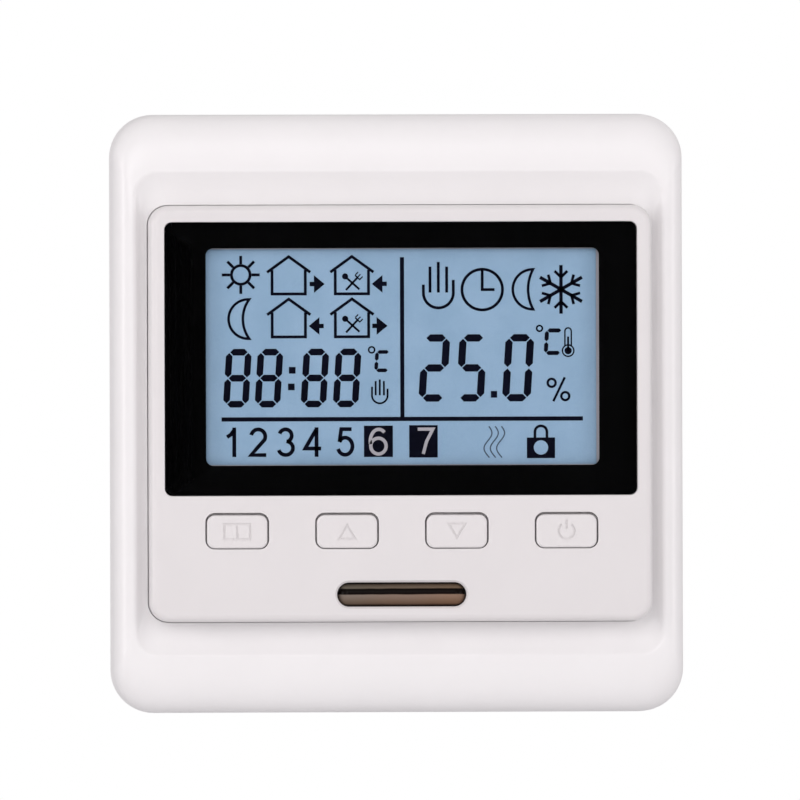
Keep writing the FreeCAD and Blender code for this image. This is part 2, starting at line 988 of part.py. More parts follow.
def display():
    """The window, its black border, the liquid crystal cell, and what lights and holds it."""
    front = "(panel_depth - window_recess)"
    back = f"({front} - window_thickness)"
    window = Layers("display_window")
    window.pad(
        back,
        front,
        rounded("window_width", "window_height", "window_corner", z="display_z"),
    )
    window.round_off("window_round", at_depth(front), kind="PartDesign::Chamfer")

    mask = Layers("display_mask")
    border = rounded("window_width", "window_height", "window_corner", z="display_z")
    view = rounded(
        "view_width", "view_height", "view_corner", "view_x", "display_z + view_z"
    )
    mask.pad(f"{back} - mask_thickness", back, border, view)

    glass_front = f"({back} - mask_thickness - ledge_thickness - glass_air)"
    join = f"({glass_front} - glass_thickness)"
    glass_back = f"({join} - glass_thickness)"
    overhang_z = "display_z - glass_overhang / 2"
    cell = Layers("lcd_cell")
    cell.pad(
        join,
        glass_front,
        rectangle("glass_width", "glass_height + glass_overhang", z=overhang_z),
    )
    cell.pad(
        f"{glass_back} - part_gap",
        f"{join} - part_gap",
        rectangle("glass_width", "glass_height", z="display_z"),
    )

    board_front = "(control_board_depth + board_thickness)"
    guide_front = f"({glass_back} - guide_gap)"
    guide = Layers("light_guide")
    guide.pad(
        f"{guide_front} - guide_thickness",
        guide_front,
        rectangle("glass_width - 2 * guide_inset", "glass_height - guide_inset", z="display_z"),
    )

    holder = Layers("lcd_holder")
    holder.pad(
        f"{board_front} + part_gap",
        glass_front,
        rounded("holder_width", "holder_height", "view_corner", z=overhang_z),
        rectangle(
            "holder_width - 2 * holder_wall", "holder_height - 2 * holder_wall", z=overhang_z
        ),
    )

    lamps = Layers("backlight_leds")
    for place in (-1, 0, 1):
        lamps.pad(
            f"{board_front} + part_gap",
            f"{board_front} + part_gap + led_height",
            rectangle(
                "led_thickness",
                "led_width",
                "-(glass_width / 2 - led_inset)",
                f"display_z + {place} * led_pitch",
            ),
        )

    strip = Layers("lcd_connector_strip")
    strip.pad(
        f"{board_front} + part_gap",
        f"{join} - part_gap",
        rectangle(
            "glass_width - 2 * guide_inset",
            "strip_height",
            z="display_z - glass_height / 2 - glass_overhang / 2 - strip_shift",
        ),
    )


# ---- buttons -----------------------------------------------------------------------------------


def book_icon():
    line_inset = "2 * icon_line"
    return [
        rectangle("icon_book_width", "icon_book_height"),
        rectangle(
            f"(icon_book_width - icon_line - {line_inset}) / 2",
            f"icon_book_height - {line_inset}",
            "(icon_book_width - icon_line) / 4",
        ),
        rectangle(
            f"(icon_book_width - icon_line - {line_inset}) / 2",
            f"icon_book_height - {line_inset}",
            "-(icon_book_width - icon_line) / 4",
        ),
    ]


def arrow_icon(sign):
    """A hollow triangle that points up (+1) or down (-1), with the origin at half its height."""
    tip = f"{sign} * icon_arrow_height / 2"
    foot = f"{-sign} * icon_arrow_height / 2"
    middle = f"({-sign} * icon_arrow_height / 6)"
    corners = [("0", tip), ("icon_arrow_width / 2", foot), ("-icon_arrow_width / 2", foot)]
    small = [
        (f"({x}) * icon_arrow_inner", f"{middle} + ({z} - {middle}) * icon_arrow_inner")
        for x, z in corners
    ]
    return [polygon(*corners), polygon(*small)]


def power_icon():
    bar = rectangle(
        "icon_line", "icon_power_radius", z="icon_power_radius * icon_power_lift"
    )
    ring = open_ring(
        "icon_power_radius", "icon_power_radius - icon_line", "icon_power_opening"
    )
    return [ring, bar]


BUTTONS = (
    ("menu", book_icon()),
    ("up", arrow_icon(1)),
    ("down", arrow_icon(-1)),
    ("power", power_icon()),
)


def button(name, place, icon):
    """A cap with an engraved sign, and the plunger of the switch under it."""
    x, z = button_x(place), "button_z"
    front = "(panel_depth + button_proud)"
    flange_front = "(panel_depth - panel_face - part_gap)"
    flange_back = f"({flange_front} - button_flange_thickness)"
    switch_top = "(control_board_depth + board_thickness + part_gap + switch_height)"
    plunger_top = f"({switch_top} + plunger_rise)"

    cap = Layers(f"button_{name}", x, "0", f"{z} - button_drop")
    cap.pad(flange_back, front, rounded("button_width", "button_height", "button_corner"))
    cap.round_off("button_round", at_depth(front))
    cap.pad(
        flange_back,
        flange_front,
        rounded(
            "button_width + 2 * button_flange",
            "button_height + 2 * button_flange",
            "button_corner",
        ),
    )
    cap.pad(plunger_top, flange_back, disc("post_radius"))
    cap.cut(f"{front} - icon_depth", front, *icon)

    plunger = Layers(f"switch_plunger_{name}", x, "0", z)
    roof = f"({switch_top} - switch_roof - part_gap)"
    plunger.pad(f"{roof} - plunger_flange_thickness", roof, disc("plunger_flange"))
    plunger.pad(roof, plunger_top, disc("plunger_radius"))


def switches():
    """Four push switches: their housings as one group and their snap domes as another."""
    board_front = "(control_board_depth + board_thickness + part_gap)"
    floor = f"({board_front} + switch_floor)"
    top = f"({board_front} + switch_height)"
    housings = Layers("switch_housings")
    places = [(button_x(i), "button_z") for i in range(BUTTONS_ACROSS)]
    housings.pad(
        board_front, top, *[rectangle("switch_size", "switch_size", x, z) for x, z in places]
    )
    housings.cut(
        floor, f"{top} - switch_roof", *[disc("switch_bore", x, z) for x, z in places]
    )
    housings.cut(
        f"{top} - switch_roof",
        top,
        *[disc("plunger_radius + plunger_gap", x, z) for x, z in places],
    )
    domes = []
    low = f"({floor} + dome_gap)"
    for x, z in places:
        outer = forward_cone("dome_radius", "dome_top", low, f"{low} + dome_height", x, z)
        inner = forward_cone(
            "dome_radius - dome_taper * dome_thickness",
            "dome_top - dome_taper * dome_thickness",
            f"{low} - dome_thickness",
            f"{low} + dome_height - dome_thickness",
            x,
            z,
        )
        domes.append(less(outer, inner))
    keep(group(*domes), "switch_domes")


# ---- lens, control board and its parts ---------------------------------------------------------


def lens():
    """A smoked pillow-shaped lens, held from behind by a flange."""
    front = "(panel_depth + lens_proud)"
    flange_front = "(panel_depth - panel_face - part_gap)"
    item = Layers("indicator_lens")
    item.pad(flange_front, front, capsule("lens_width", "lens_height", "lens_x", "lens_z"))
    item.round_off("lens_round", at_depth(front))
    item.pad(
        f"{flange_front} - lens_flange_thickness",
        flange_front,
        capsule(
            "lens_width + 2 * lens_flange",
            "lens_height + 2 * lens_flange",
            "lens_x",
            "lens_z",
        ),
    )


def control_board():
    """The module's circuit board and what stands on it."""
    back = "control_board_depth"
    front = "(control_board_depth + board_thickness)"
    board = Layers("control_board")
    board.pad(
        back, front, rounded("control_board_width", "control_board_height", "cover_corner")
    )
    holes = [
        disc("fixing_radius + plunger_gap", x, z)
        for x, z in mirrored("fixing_x", "fixing_z")
    ]
    pins = [
        rectangle("pin_size + 2 * part_gap", "pin_size + 2 * part_gap", x, z)
        for x, z in pin_places()
    ]
    board.cut(back, front, *holes, *pins)

    chip = Layers("microcontroller")
    chip.pad(
        f"{back} - chip_height",
        f"{back} - chip_gap",
        rectangle("chip_size", "chip_size", "chip_x", "chip_z"),
    )
    chip_legs(chip, back)

    parts = Layers("board_components")
    parts.pad(
        f"{back} - small_part_thickness",
        f"{back} - part_gap",
        *[
            rectangle("small_part_width", "small_part_height", "small_part_x", z)
            for z in ("small_part_low", "small_part_low + small_part_row")
        ],
    )
    parts.repeat("H_Axis", "small_part_pitch", SMALL_PARTS)
    parts.pad(
        f"{back} - header_height",
        f"{back} - part_gap",
        rectangle(f"{PINS_ACROSS} * pin_pitch", f"{PIN_ROWS} * pin_pitch", z="pin_z"),
    )
    parts.cut(f"{back} - header_height", f"{back} - part_gap", *pins)

    cell = Layers("backup_battery", "battery_x", "0", "battery_z")
    cell.pad(f"{back} - battery_height", f"{back} - part_gap", disc("battery_radius"))
    cell.round_off("battery_round", at_depth(f"{back} - battery_height"))

    lamp = "(control_board_depth + board_thickness + part_gap)"
    dome = f"{lamp} + lamp_height - lamp_radius"
    keep(
        fused(
            forward_rod(
                "lamp_radius + lamp_rim", lamp, f"{lamp} + lamp_base", "lamp_x", "lens_z"
            ),
            forward_rod("lamp_radius", lamp, dome, "lamp_x", "lens_z"),
            ball("lamp_radius", "lamp_x", dome, "lens_z"),
        ),
        "indicator_led",
    )

    bead = f"{lamp} + sensor_height"
    keep(
        fused(
            ball("sensor_radius", "sensor_x", bead, "lens_z"),
            forward_rod("sensor_lead", lamp, bead, "sensor_x - sensor_lead_pitch / 2", "lens_z"),
            forward_rod("sensor_lead", lamp, bead, "sensor_x + sensor_lead_pitch / 2", "lens_z"),
        ),
        "air_sensor",
    )

    plug = Layers("plug_pins")
    plug.pad(
        "pin_end",
        f"{front} + pin_tail",
        *[rectangle("pin_size", "pin_size", x, z) for x, z in pin_places()],
    )


def chip_legs(chip, back):
    """Flat legs along each of the chip's four sides."""
    low, high = f"{back} - leg_thickness - part_gap", f"{back} - part_gap"
    first = f"{(CHIP_LEGS - 1) / 2} * leg_pitch"
    reach = "(chip_size / 2 + leg_length / 2 - leg_overlap)"
    for axis in ("H_Axis", "V_Axis"):
        legs = []
        for side in ("", "-"):
            if axis == "H_Axis":
                x, z = f"chip_x - {first}", f"chip_z + {side}{reach}"
                legs.append(rectangle("leg_width", "leg_length", x, z))
            else:
                x, z = f"chip_x + {side}{reach}", f"chip_z - {first}"
                legs.append(rectangle("leg_length", "leg_width", x, z))
        chip.pad(low, high, *legs)
        chip.repeat(axis, "leg_pitch", CHIP_LEGS)


def module_cover():
    """The plate that closes the module from behind, and its four screws."""
    low = "cover_depth"
    high = "(cover_depth + cover_thickness)"
    places = mirrored("fixing_x", "fixing_z")
    plate = Layers("module_cover")
    plate.pad(low, high, rounded("cover_width", "cover_height", "cover_corner"))
    plate.pad(
        high,
        "control_board_depth - part_gap",
        *[disc("boss_radius", x, z) for x, z in places],
    )
    plate.cut(
        low,
        "control_board_depth",
        *[disc("fixing_radius + plunger_gap", x, z) for x, z in places],
    )
    plate.cut(
        low,
        high,
        rectangle(
            f"{PINS_ACROSS} * pin_pitch + pin_margin",
            f"{PIN_ROWS} * pin_pitch + pin_margin",
            z="pin_z",
        ),
        *[
            rectangle("latch_slot", "latch_width + latch_play", x, z)
            for x, z in mirrored("latch_x - latch_thickness / 2", "latch_z")
        ],
    )

    screws = Layers("module_screws")
    screws.pad(
        low,
        f"{low} + fixing_length",
        *[disc("fixing_radius", x, z) for x, z in places],
    )
    screws.pad(
        f"{low} - fixing_head_height",
        f"{low} - part_gap",
        *[disc("fixing_head", x, z) for x, z in places],
    )
    screws.pad(
        f"{low} - fixing_head_height / 2",
        low,
        *[disc("fixing_radius", x, z) for x, z in places],
    )
    cut_cross(screws, f"{low} - fixing_head_height", places, "fixing_head")


def cut_cross(screws, face, places, radius):
    """A cross recess in each head; face is the depth of the heads' rear side."""
    arms = []
    for x, z in places:
        arms.append(cross(f"cross_span * {radius}", "screw_slot", x, z))
    screws.cut(face, f"{face} + cross_depth", *arms)


def cross(span, width, x, z):
    """A plus sign, span across and width thick."""
    far, near = f"({span}) / 2", f"({width}) / 2"
    signs = [(1, 1), (-1, 1), (-1, -1), (1, -1)]
    corners = []
    for a, b in signs:
        wide = (f"{x} + {a} * {far}", f"{z} + {b} * {near}")
        inner = (f"{x} + {a} * {near}", f"{z} + {b} * {near}")
        tall = (f"{x} + {a} * {near}", f"{z} + {b} * {far}")
        corners += [wide, inner, tall] if a == b else [tall, inner, wide]
    return polygon(*corners)


# ---- mounting plate, latch springs and rear housing --------------------------------------------


def mounting_plate():
    """The steel plate that two screws hold to the wall box."""
    plate = Layers("mounting_plate")
    plate.pad("0", "plate_thickness", rounded("plate_width", "plate_height", "plate_corner"))
    spacing = "fixing_spacing / 2"
    length, width = "fixing_slot_length", "fixing_slot_width"
    slots = [capsule(length, width, f"{s}({spacing})") for s in ("", "-")]
    slots += [capsule(length, width, "0", f"{s}({spacing})", True) for s in ("", "-")]
    plate.cut("0", "plate_thickness", *slots)
    plate.cut(
        "0",
        "plate_thickness",
        octagon("housing_width + 2 * plate_gap", "housing_chamfer"),
        *[
            disc("rivet_radius + part_gap", x, z)
            for x, z in mirrored("rivet_place", "rivet_place")
        ],
        *[
            disc("peg_radius + plunger_gap", x, z)
            for x, z in mirrored("peg_x", "peg_z")
        ],
    )


def latch_springs():
    """Four upright leaf springs that snap over the edges of slots in the module's cover."""
    low = "(plate_thickness + part_gap)"
    springs = Layers("latch_springs")
    feet, stems, bulges = [], [], []
    for side in (1, -1):
        for z in ("latch_z", "-latch_z"):
            stem = f"{side} * (latch_x - latch_thickness / 2)"
            foot = f"{side} * (latch_x - latch_foot / 2)"
            bulge = f"{side} * (latch_x + latch_bulge / 2 - latch_overlap)"
            feet.append(rectangle("latch_foot", "latch_width", foot, z))
            stems.append(rectangle("latch_thickness", "latch_width", stem, z))
            bulges.append(rectangle("latch_bulge", "latch_width", bulge, z))
    hook = "(cover_depth + cover_thickness + part_gap)"
    springs.pad(low, f"{low} + latch_thickness", *feet)
    springs.pad(low, "latch_height", *stems)
    springs.pad(hook, f"{hook} + latch_bulge_height", *bulges)


def rear_housing():
    """The box in the wall: a cup with a flange, pillars for the board, and terminal openings."""
    inner = "housing_width - 2 * housing_wall"
    inner_chamfer = f"housing_chamfer - housing_wall * {CHAMFER_INSET:.4f}"
    ledge_chamfer = f"housing_chamfer - lid_ledge * {CHAMFER_INSET:.4f}"
    flange_low = "plate_thickness"
    front = "(plate_thickness + flange_thickness)"
    floor = "(housing_bottom + housing_wall)"
    cup = Layers("rear_housing")
    cup.pad("housing_bottom", flange_low, octagon("housing_width", "housing_chamfer"))
    cup.pad(flange_low, front, rounded("flange_width", "flange_width", "cover_corner"))
    cup.cut(
        f"{front} - lid_thickness",
        front,
        octagon("housing_width - 2 * lid_ledge", ledge_chamfer),
    )
    cup.cut(floor, f"{front} - lid_thickness", octagon(inner, inner_chamfer))
    cup.pad(
        floor,
        "power_board_depth - part_gap",
        *[
            disc("pillar_radius", x, z)
            for x, z in mirrored("pillar_place", "pillar_place")
        ],
    )
    cup.cut(
        "housing_bottom",
        floor,
        rectangle(
            "block_width + 2 * block_gap", "block_height + 2 * block_gap", z="block_z"
        ),
    )
    cup.cut(
        "entry_low",
        "entry_high",
        *[
            rectangle(
                "entry_width",
                "housing_wall + entry_margin",
                terminal_x(i + 1),
                "-(housing_width - housing_wall) / 2",
            )
            for i in range(TERMINALS)
        ],
    )
    cup.cut(
        flange_low,
        front,
        *[
            disc("rivet_radius + part_gap", x, z)
            for x, z in mirrored("rivet_place", "rivet_place")
        ],
    )

    lid = Layers("housing_lid")
    lid_low = f"({front} - lid_thickness + part_gap)"
    edge = "housing_width - 2 * lid_ledge - 2 * lid_gap"
    lid.pad(lid_low, front, octagon(edge, ledge_chamfer))
    lid.pad(
        "power_board_depth + board_thickness + part_gap",
        lid_low,
        *[
            disc("lid_leg_radius", x, z)
            for x, z in mirrored("lid_leg_place", "lid_leg_place")
        ],
    )
    lid.cut(
        lid_low,
        front,
        rectangle("socket_width + socket_play", "socket_height + socket_play", z="pin_z"),
    )

    rivets = Layers("plate_rivets")
    places = mirrored("rivet_place", "rivet_place")
    rivets.pad("part_gap", f"{front} + part_gap", *[disc("rivet_radius", x, z) for x, z in places])
    rivets.pad(
        f"{front} + part_gap",
        f"{front} + part_gap + rivet_head_height",
        *[disc("rivet_head", x, z) for x, z in places],
    )
    rivets.round_off("rivet_round", at_depth(f"{front} + part_gap + rivet_head_height"))


# ---- power board -------------------------------------------------------------------------------


def power_board():
    """The mains board, its plug socket and the parts behind it, except relay and terminals."""
    back = "power_board_depth"
    front = "(power_board_depth + board_thickness)"
    behind = f"({back} - part_gap)"
    board = Layers("power_board")
    board.pad(back, front, octagon("power_board_width", "power_board_chamfer"))

    socket = Layers("plug_socket")
    socket.pad(
        f"{front} + part_gap",
        "socket_front",
        rounded("socket_width", "socket_height", "socket_corner", z="pin_z"),
    )
    socket.cut(
        "pin_end - socket_floor",
        "socket_front",
        *[rectangle("socket_hole", "socket_hole", x, z) for x, z in pin_places()],
    )

    film = Layers("film_capacitor")
    film.pad(
        f"{behind} - film_length",
        behind,
        rounded("film_width", "film_height", "film_corner", "film_x", "film_z"),
    )
    film.round_off("film_round", at_depth(f"{behind} - film_length"))

    centre = f"{behind} - varistor_radius - varistor_lift"
    keep(
        fused(
            cross_rod(
                "varistor_radius",
                "varistor_x - varistor_thickness / 2",
                "varistor_x + varistor_thickness / 2",
                centre,
                "varistor_z",
            ),
            *[
                forward_rod(
                    "varistor_lead",
                    centre,
                    behind,
                    "varistor_x",
                    f"varistor_z {side} varistor_lead_place",
                )
                for side in "-+"
            ],
        ),
        "varistor",
    )

    can = Layers("electrolytic_capacitor", "electrolytic_x", "0", "electrolytic_z")
    can.pad(f"{behind} - electrolytic_length", behind, disc("electrolytic_radius"))
    can.round_off("electrolytic_round", at_depth(f"{behind} - electrolytic_length"))

    middle = f"{behind} - fuse_radius - fuse_lift"
    left = "fuse_x - fuse_length / 2"
    right = "fuse_x + fuse_length / 2"
    keep(
        fused(
            cross_rod("fuse_radius * fuse_tube", left, right, middle, "fuse_z"),
            cross_rod("fuse_radius", left, f"{left} + fuse_cap", middle, "fuse_z"),
            cross_rod("fuse_radius", f"{right} - fuse_cap", right, middle, "fuse_z"),
            *[
                forward_rod("fuse_lead", middle, behind, end, "fuse_z")
                for end in (f"{left} + fuse_cap / 2", f"{right} - fuse_cap / 2")
            ],
        ),
        "fuse",
    )


def terminals():
    """Six screw terminals: a block, fixed tongues, and a screw and a rising clamp for each."""
    numbers = range(1, TERMINALS + 1)
    top = "power_board_depth - part_gap"
    block_piece = Layers("terminal_block")
    block_piece.pad("block_bottom", top, rectangle("block_width", "block_height", z="block_z"))
    block_piece.cut(
        "chamber_bottom",
        top,
        *[
            rectangle("chamber_width", "chamber_height", terminal_x(n), "chamber_z")
            for n in numbers
        ],
    )
    block_piece.cut(
        "entry_low",
        "entry_high",
        *[
            rectangle(
                "entry_width",
                "entry_tunnel",
                terminal_x(n),
                "block_z - block_height / 2 + entry_inset",
            )
            for n in numbers
        ],
    )
    block_piece.cut(
        "block_bottom",
        "terminal_seat",
        *[disc("terminal_head + terminal_play", terminal_x(n), "terminal_z") for n in numbers],
    )
    block_piece.cut(
        "terminal_seat",
        "chamber_bottom",
        *[disc("terminal_shank + terminal_play", terminal_x(n), "terminal_z") for n in numbers],
    )

    tongues = Layers("terminal_tongues")
    low = "(tongue_depth - tongue_thickness)"
    tongues.pad(
        low,
        "tongue_depth",
        *[
            rectangle("tongue_width", "tongue_height", terminal_x(n), "tongue_z")
            for n in numbers
        ],
    )
    tongues.pad(
        low,
        top,
        *[
            rectangle(
                "tongue_width",
                "tongue_thickness",
                terminal_x(n),
                "tongue_z + tongue_height / 2 - tongue_thickness / 2",
            )
            for n in numbers
        ],
    )

    for number in numbers:
        terminal_screw(number)
        terminal_clamp(number)


def terminal_screw(number):
    """A slotted screw that stays at its depth and turns."""
    screw = Layers(f"terminal_screw_{number}", terminal_x(number), "0", "terminal_z")
    seat = "(terminal_seat - part_gap)"
    head = f"({seat} - terminal_head_height)"
    screw.pad(head, seat, disc("terminal_head"))
    screw.pad(seat, "terminal_shank_end", disc("terminal_shank"))
    screw.cut(
        head, f"{head} + terminal_slot_depth", rectangle("terminal_slot_length", "screw_slot")
    )


def terminal_clamp(number):
    """A square tube that the screw pulls towards its head, squeezing the wire on the tongue."""
    clamp = Layers(f"terminal_clamp_{number}", terminal_x(number), "0", "terminal_z")
    clamp.pad("clamp_bottom", "clamp_top", rectangle("clamp_width", "clamp_height"))
    clamp.cut(
        "clamp_bottom + clamp_nut",
        "clamp_top - clamp_bar",
        rectangle("clamp_width - 2 * clamp_wall", "clamp_height + cut_margin"),
    )
    clamp.cut(
        "clamp_bottom",
        "clamp_bottom + clamp_nut",
        disc("terminal_shank + thread_gap"),
    )


# ---- relay -------------------------------------------------------------------------------------


def relay():
    """The heating relay: case, base, coil, yoke, contacts, and the armature that swings."""
    front = "(power_board_depth - part_gap)"
    back = f"({front} - relay_length)"
    z = "relay_z"
    case = Layers("relay_case")
    case.pad(back, front, rectangle("relay_width", "relay_height", z=z))
    case.cut(
        f"{back} + relay_wall",
        front,
        rectangle("relay_width - 2 * relay_wall", "relay_height - 2 * relay_wall", z=z),
    )
    inside = "2 * (relay_wall + part_gap)"
    base = Layers("relay_base")
    base_back = f"({front} - relay_base_thickness)"
    base.pad(
        base_back,
        front,
        rectangle(f"relay_width - {inside}", f"relay_height - {inside}", z=z),
    )

    flange = "coil_flange_thickness"
    winding = fused(
        cross_rod("coil_radius", "coil_left", "coil_right", "coil_depth", z),
        cross_rod("coil_flange", "coil_left", f"coil_left + {flange}", "coil_depth", z),
        cross_rod("coil_flange", f"coil_right - {flange}", "coil_right", "coil_depth", z),
    )
    bore = cross_rod(
        "core_radius + part_gap",
        "coil_left - cut_margin",
        "coil_right + cut_margin",
        "coil_depth",
        z,
    )
    keep(less(winding, bore), "relay_coil")

    keep(
        fused(
            block(
                "yoke_thickness",
                "yoke_width",
                "yoke_depth - yoke_thickness",
                "coil_depth + coil_radius",
                "yoke_left + yoke_thickness / 2",
                z,
            ),
            block(
                "yoke_end - yoke_left",
                "yoke_width",
                "yoke_depth - yoke_thickness",
                "yoke_depth",
                "(yoke_end + yoke_left) / 2",
                z,
            ),
            cross_rod("core_radius", "yoke_left", "core_end", "coil_depth", z),
        ),
        "relay_yoke",
    )

    blade = "blade_left + blade_thickness / 2"
    tip = "blade_left - contact_reach"
    keep(
        fused(
            block(
                "armature_thickness",
                "yoke_width",
                "armature_bottom",
                "armature_top",
                "armature_left + armature_thickness / 2",
                z,
            ),
            block(
                "blade_left - armature_left",
                "blade_width",
                "armature_bottom",
                "armature_bottom + blade_link",
                "(blade_left + armature_left) / 2",
                z,
            ),
            block(
                "blade_thickness", "blade_width", "armature_bottom", "blade_top", blade, z
            ),
            cross_rod(
                "contact_radius",
                tip,
                "blade_left + blade_thickness + contact_reach",
                "contact_depth",
                z,
            ),
        ),
        "relay_armature",
    )

    closed = "(blade_left + blade_thickness + contact_reach + thread_gap)"
    opened = f"({tip} - contact_opening)"
    foot = f"{base_back} - part_gap"
    keep(
        group(
            contact(f"{opened} - contact_reach", opened, f"{opened} - contact_reach", foot, -1),
            contact(closed, f"{closed} + contact_reach", f"{closed} + contact_reach", foot, 1),
        ),
        "relay_contacts",
    )


def contact(left, right, post, foot, side):
    """A fixed contact: a rivet from left to right on a post that starts at post."""
    return fused(
        cross_rod("contact_radius", left, right, "contact_depth", "relay_z"),
        block(
            "post_thickness",
            "blade_width",
            "contact_depth - contact_radius - post_margin",
            foot,
            f"{post} + {side} * post_thickness / 2",
            "relay_z",
        ),
    )


# ---- build, check and export -------------------------------------------------------------------


def build():
    fill_sheet()
    outer_frame()
    front_panel()
    display()
    for place, (name, icon) in enumerate(BUTTONS):
        button(name, place, icon)
    switches()
    lens()
    control_board()
    module_cover()
    mounting_plate()
    latch_springs()
    rear_housing()
    power_board()
    terminals()
    relay()
    doc.recompute()


def check():
    """Stops the script if any object failed, any pocket cut nothing or any sub-part is bad."""
    for item in doc.Objects:
        if "Invalid" in item.State or "Error" in item.State:
            raise RuntimeError(f"{item.Name} ({item.Label}) failed: {item.State}")
        if item.TypeId == "PartDesign::Pocket":
            before = item.BaseFeature.Shape.Volume
            if item.Shape.Volume > before - TOUCH:
                raise RuntimeError(f"{item.Name} cut nothing")
    for item in sub_parts:
        shape = item.Shape
        if shape.isNull() or not shape.isValid() or not shape.Solids:
            raise RuntimeError(f"{item.Label} has no valid shape")


def export():
    os.makedirs("parts", exist_ok=True)
    for item in sub_parts:
        item.Shape.exportStep(f"parts/{item.Label}.step")
        box = item.Shape.BoundBox
        print(
            f"{item.Label:24s} solids {len(item.Shape.Solids):2d}  "
            f"volume {item.Shape.Volume:9.2f}  "
            f"x {box.XMin:7.2f} {box.XMax:7.2f}  "
            f"y {box.YMin:7.2f} {box.YMax:7.2f}  "
            f"z {box.ZMin:7.2f} {box.ZMax:7.2f}"
        )


build()
check()
export()
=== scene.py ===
import json
import math

import bmesh
import bpy
from mathutils import Matrix, Vector


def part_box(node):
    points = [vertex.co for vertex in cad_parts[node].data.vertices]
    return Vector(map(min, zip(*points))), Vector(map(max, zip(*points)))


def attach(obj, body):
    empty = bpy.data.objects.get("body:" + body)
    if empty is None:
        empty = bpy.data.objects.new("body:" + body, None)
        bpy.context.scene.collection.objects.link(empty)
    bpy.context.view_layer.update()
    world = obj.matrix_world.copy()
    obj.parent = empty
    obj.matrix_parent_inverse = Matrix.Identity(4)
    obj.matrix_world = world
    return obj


# Looks of a flush-mounted wall thermostat, in metres, in the CAD's frame:
# +X right and +Z up as seen from the room, the front faces -Y, and the wall is Y = 0.

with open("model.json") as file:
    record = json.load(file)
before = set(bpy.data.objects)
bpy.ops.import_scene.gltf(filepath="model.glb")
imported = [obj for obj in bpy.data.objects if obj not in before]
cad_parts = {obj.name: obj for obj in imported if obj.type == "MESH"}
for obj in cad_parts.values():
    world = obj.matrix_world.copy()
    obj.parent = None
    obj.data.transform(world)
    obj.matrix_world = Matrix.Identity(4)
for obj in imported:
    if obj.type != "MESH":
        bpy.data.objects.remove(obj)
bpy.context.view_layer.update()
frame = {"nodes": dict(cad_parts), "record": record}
nodes = frame["nodes"]

MM = 0.001


# ---- node materials ------------------------------------------------------------------------


class Shader:
    """A Principled material built node by node."""

    def __init__(self, name):
        self.material = bpy.data.materials.new(name)
        self.material.use_nodes = True
        self.tree = self.material.node_tree
        self.out = next(n for n in self.tree.nodes if n.type == "OUTPUT_MATERIAL")
        self.main = next(n for n in self.tree.nodes if n.type == "BSDF_PRINCIPLED")
        self.place = self.add("ShaderNodeTexCoord").outputs["Object"]

    def add(self, kind, **settings):
        node = self.tree.nodes.new(kind)
        for key, value in settings.items():
            setattr(node, key, value)
        return node

    def join(self, source, target):
        self.tree.links.new(source, target)

    def plain(self, **values):
        """Sets sockets of the main shader; metallic=1 sets Metallic, and so on."""
        for key, value in values.items():
            name = key.replace("_", " ").title().replace("Ior", "IOR")
            self.main.inputs[name].default_value = value
        return self

    def stretched(self, scale):
        """Object coordinates multiplied along each axis."""
        node = self.add("ShaderNodeMapping")
        node.inputs["Scale"].default_value = scale
        self.join(self.place, node.inputs["Vector"])
        return node.outputs["Vector"]

    def noise(self, scale, detail=3.0, roughness=0.55, vector=None):
        node = self.add("ShaderNodeTexNoise")
        node.inputs["Scale"].default_value = scale
        node.inputs["Detail"].default_value = detail
        node.inputs["Roughness"].default_value = roughness
        self.join(vector or self.place, node.inputs["Vector"])
        return node.outputs["Fac"]

    def ramp(self, value, stops, smooth=True):
        """Colours along a value; stops are (position, colour)."""
        node = self.add("ShaderNodeValToRGB")
        node.color_ramp.interpolation = "EASE" if smooth else "LINEAR"
        elements = node.color_ramp.elements
        while len(elements) < len(stops):
            elements.new(0.5)
        for element, (position, colour) in zip(elements, stops):
            element.position = position
            element.color = (*colour, 1.0)
        self.join(value, node.inputs["Fac"])
        return node.outputs["Color"]

    def spread(self, value, low, high, from_low=0.0, from_high=1.0):
        """A value mapped to another range."""
        node = self.add("ShaderNodeMapRange")
        for key, number in (
            ("From Min", from_low),
            ("From Max", from_high),
            ("To Min", low),
            ("To Max", high),
        ):
            node.inputs[key].default_value = number
        self.join(value, node.inputs["Value"])
        return node.outputs["Result"]

    def blend(self, factor, first, second, kind="MIX"):
        node = self.add("ShaderNodeMix", data_type="RGBA", blend_type=kind)
        for socket, value in (("Factor", factor), ("A", first), ("B", second)):
            target = next(
                i
                for i in node.inputs
                if i.name == socket and i.type == ("VALUE" if socket == "Factor" else "RGBA")
            )
            if isinstance(value, bpy.types.NodeSocket):
                self.join(value, target)
            else:
                target.default_value = value if socket == "Factor" else (*value, 1.0)
        return next(o for o in node.outputs if o.type == "RGBA")

    def math(self, operation, *values):
        node = self.add("ShaderNodeMath", operation=operation)
        for socket, value in zip(node.inputs, values):
            if isinstance(value, bpy.types.NodeSocket):
                self.join(value, socket)
            else:
                socket.default_value = value
        return node.outputs[0]

    def bump(self, height, distance, strength=1.0):
        node = self.add("ShaderNodeBump")
        node.inputs["Distance"].default_value = distance
        node.inputs["Strength"].default_value = strength
        self.join(height, node.inputs["Height"])
        self.join(node.outputs["Normal"], self.main.inputs["Normal"])
        return self

    def colour(self, source):
        self.join(source, self.main.inputs["Base Color"])
        return self

    def rough(self, source):
        self.join(source, self.main.inputs["Roughness"])
        return self


def shades(colour, amount):
    """A slightly darker and a slightly lighter version of a colour."""
    return [tuple(min(1.0, c * (1 + s * amount)) for c in colour) for s in (-1, 1)]


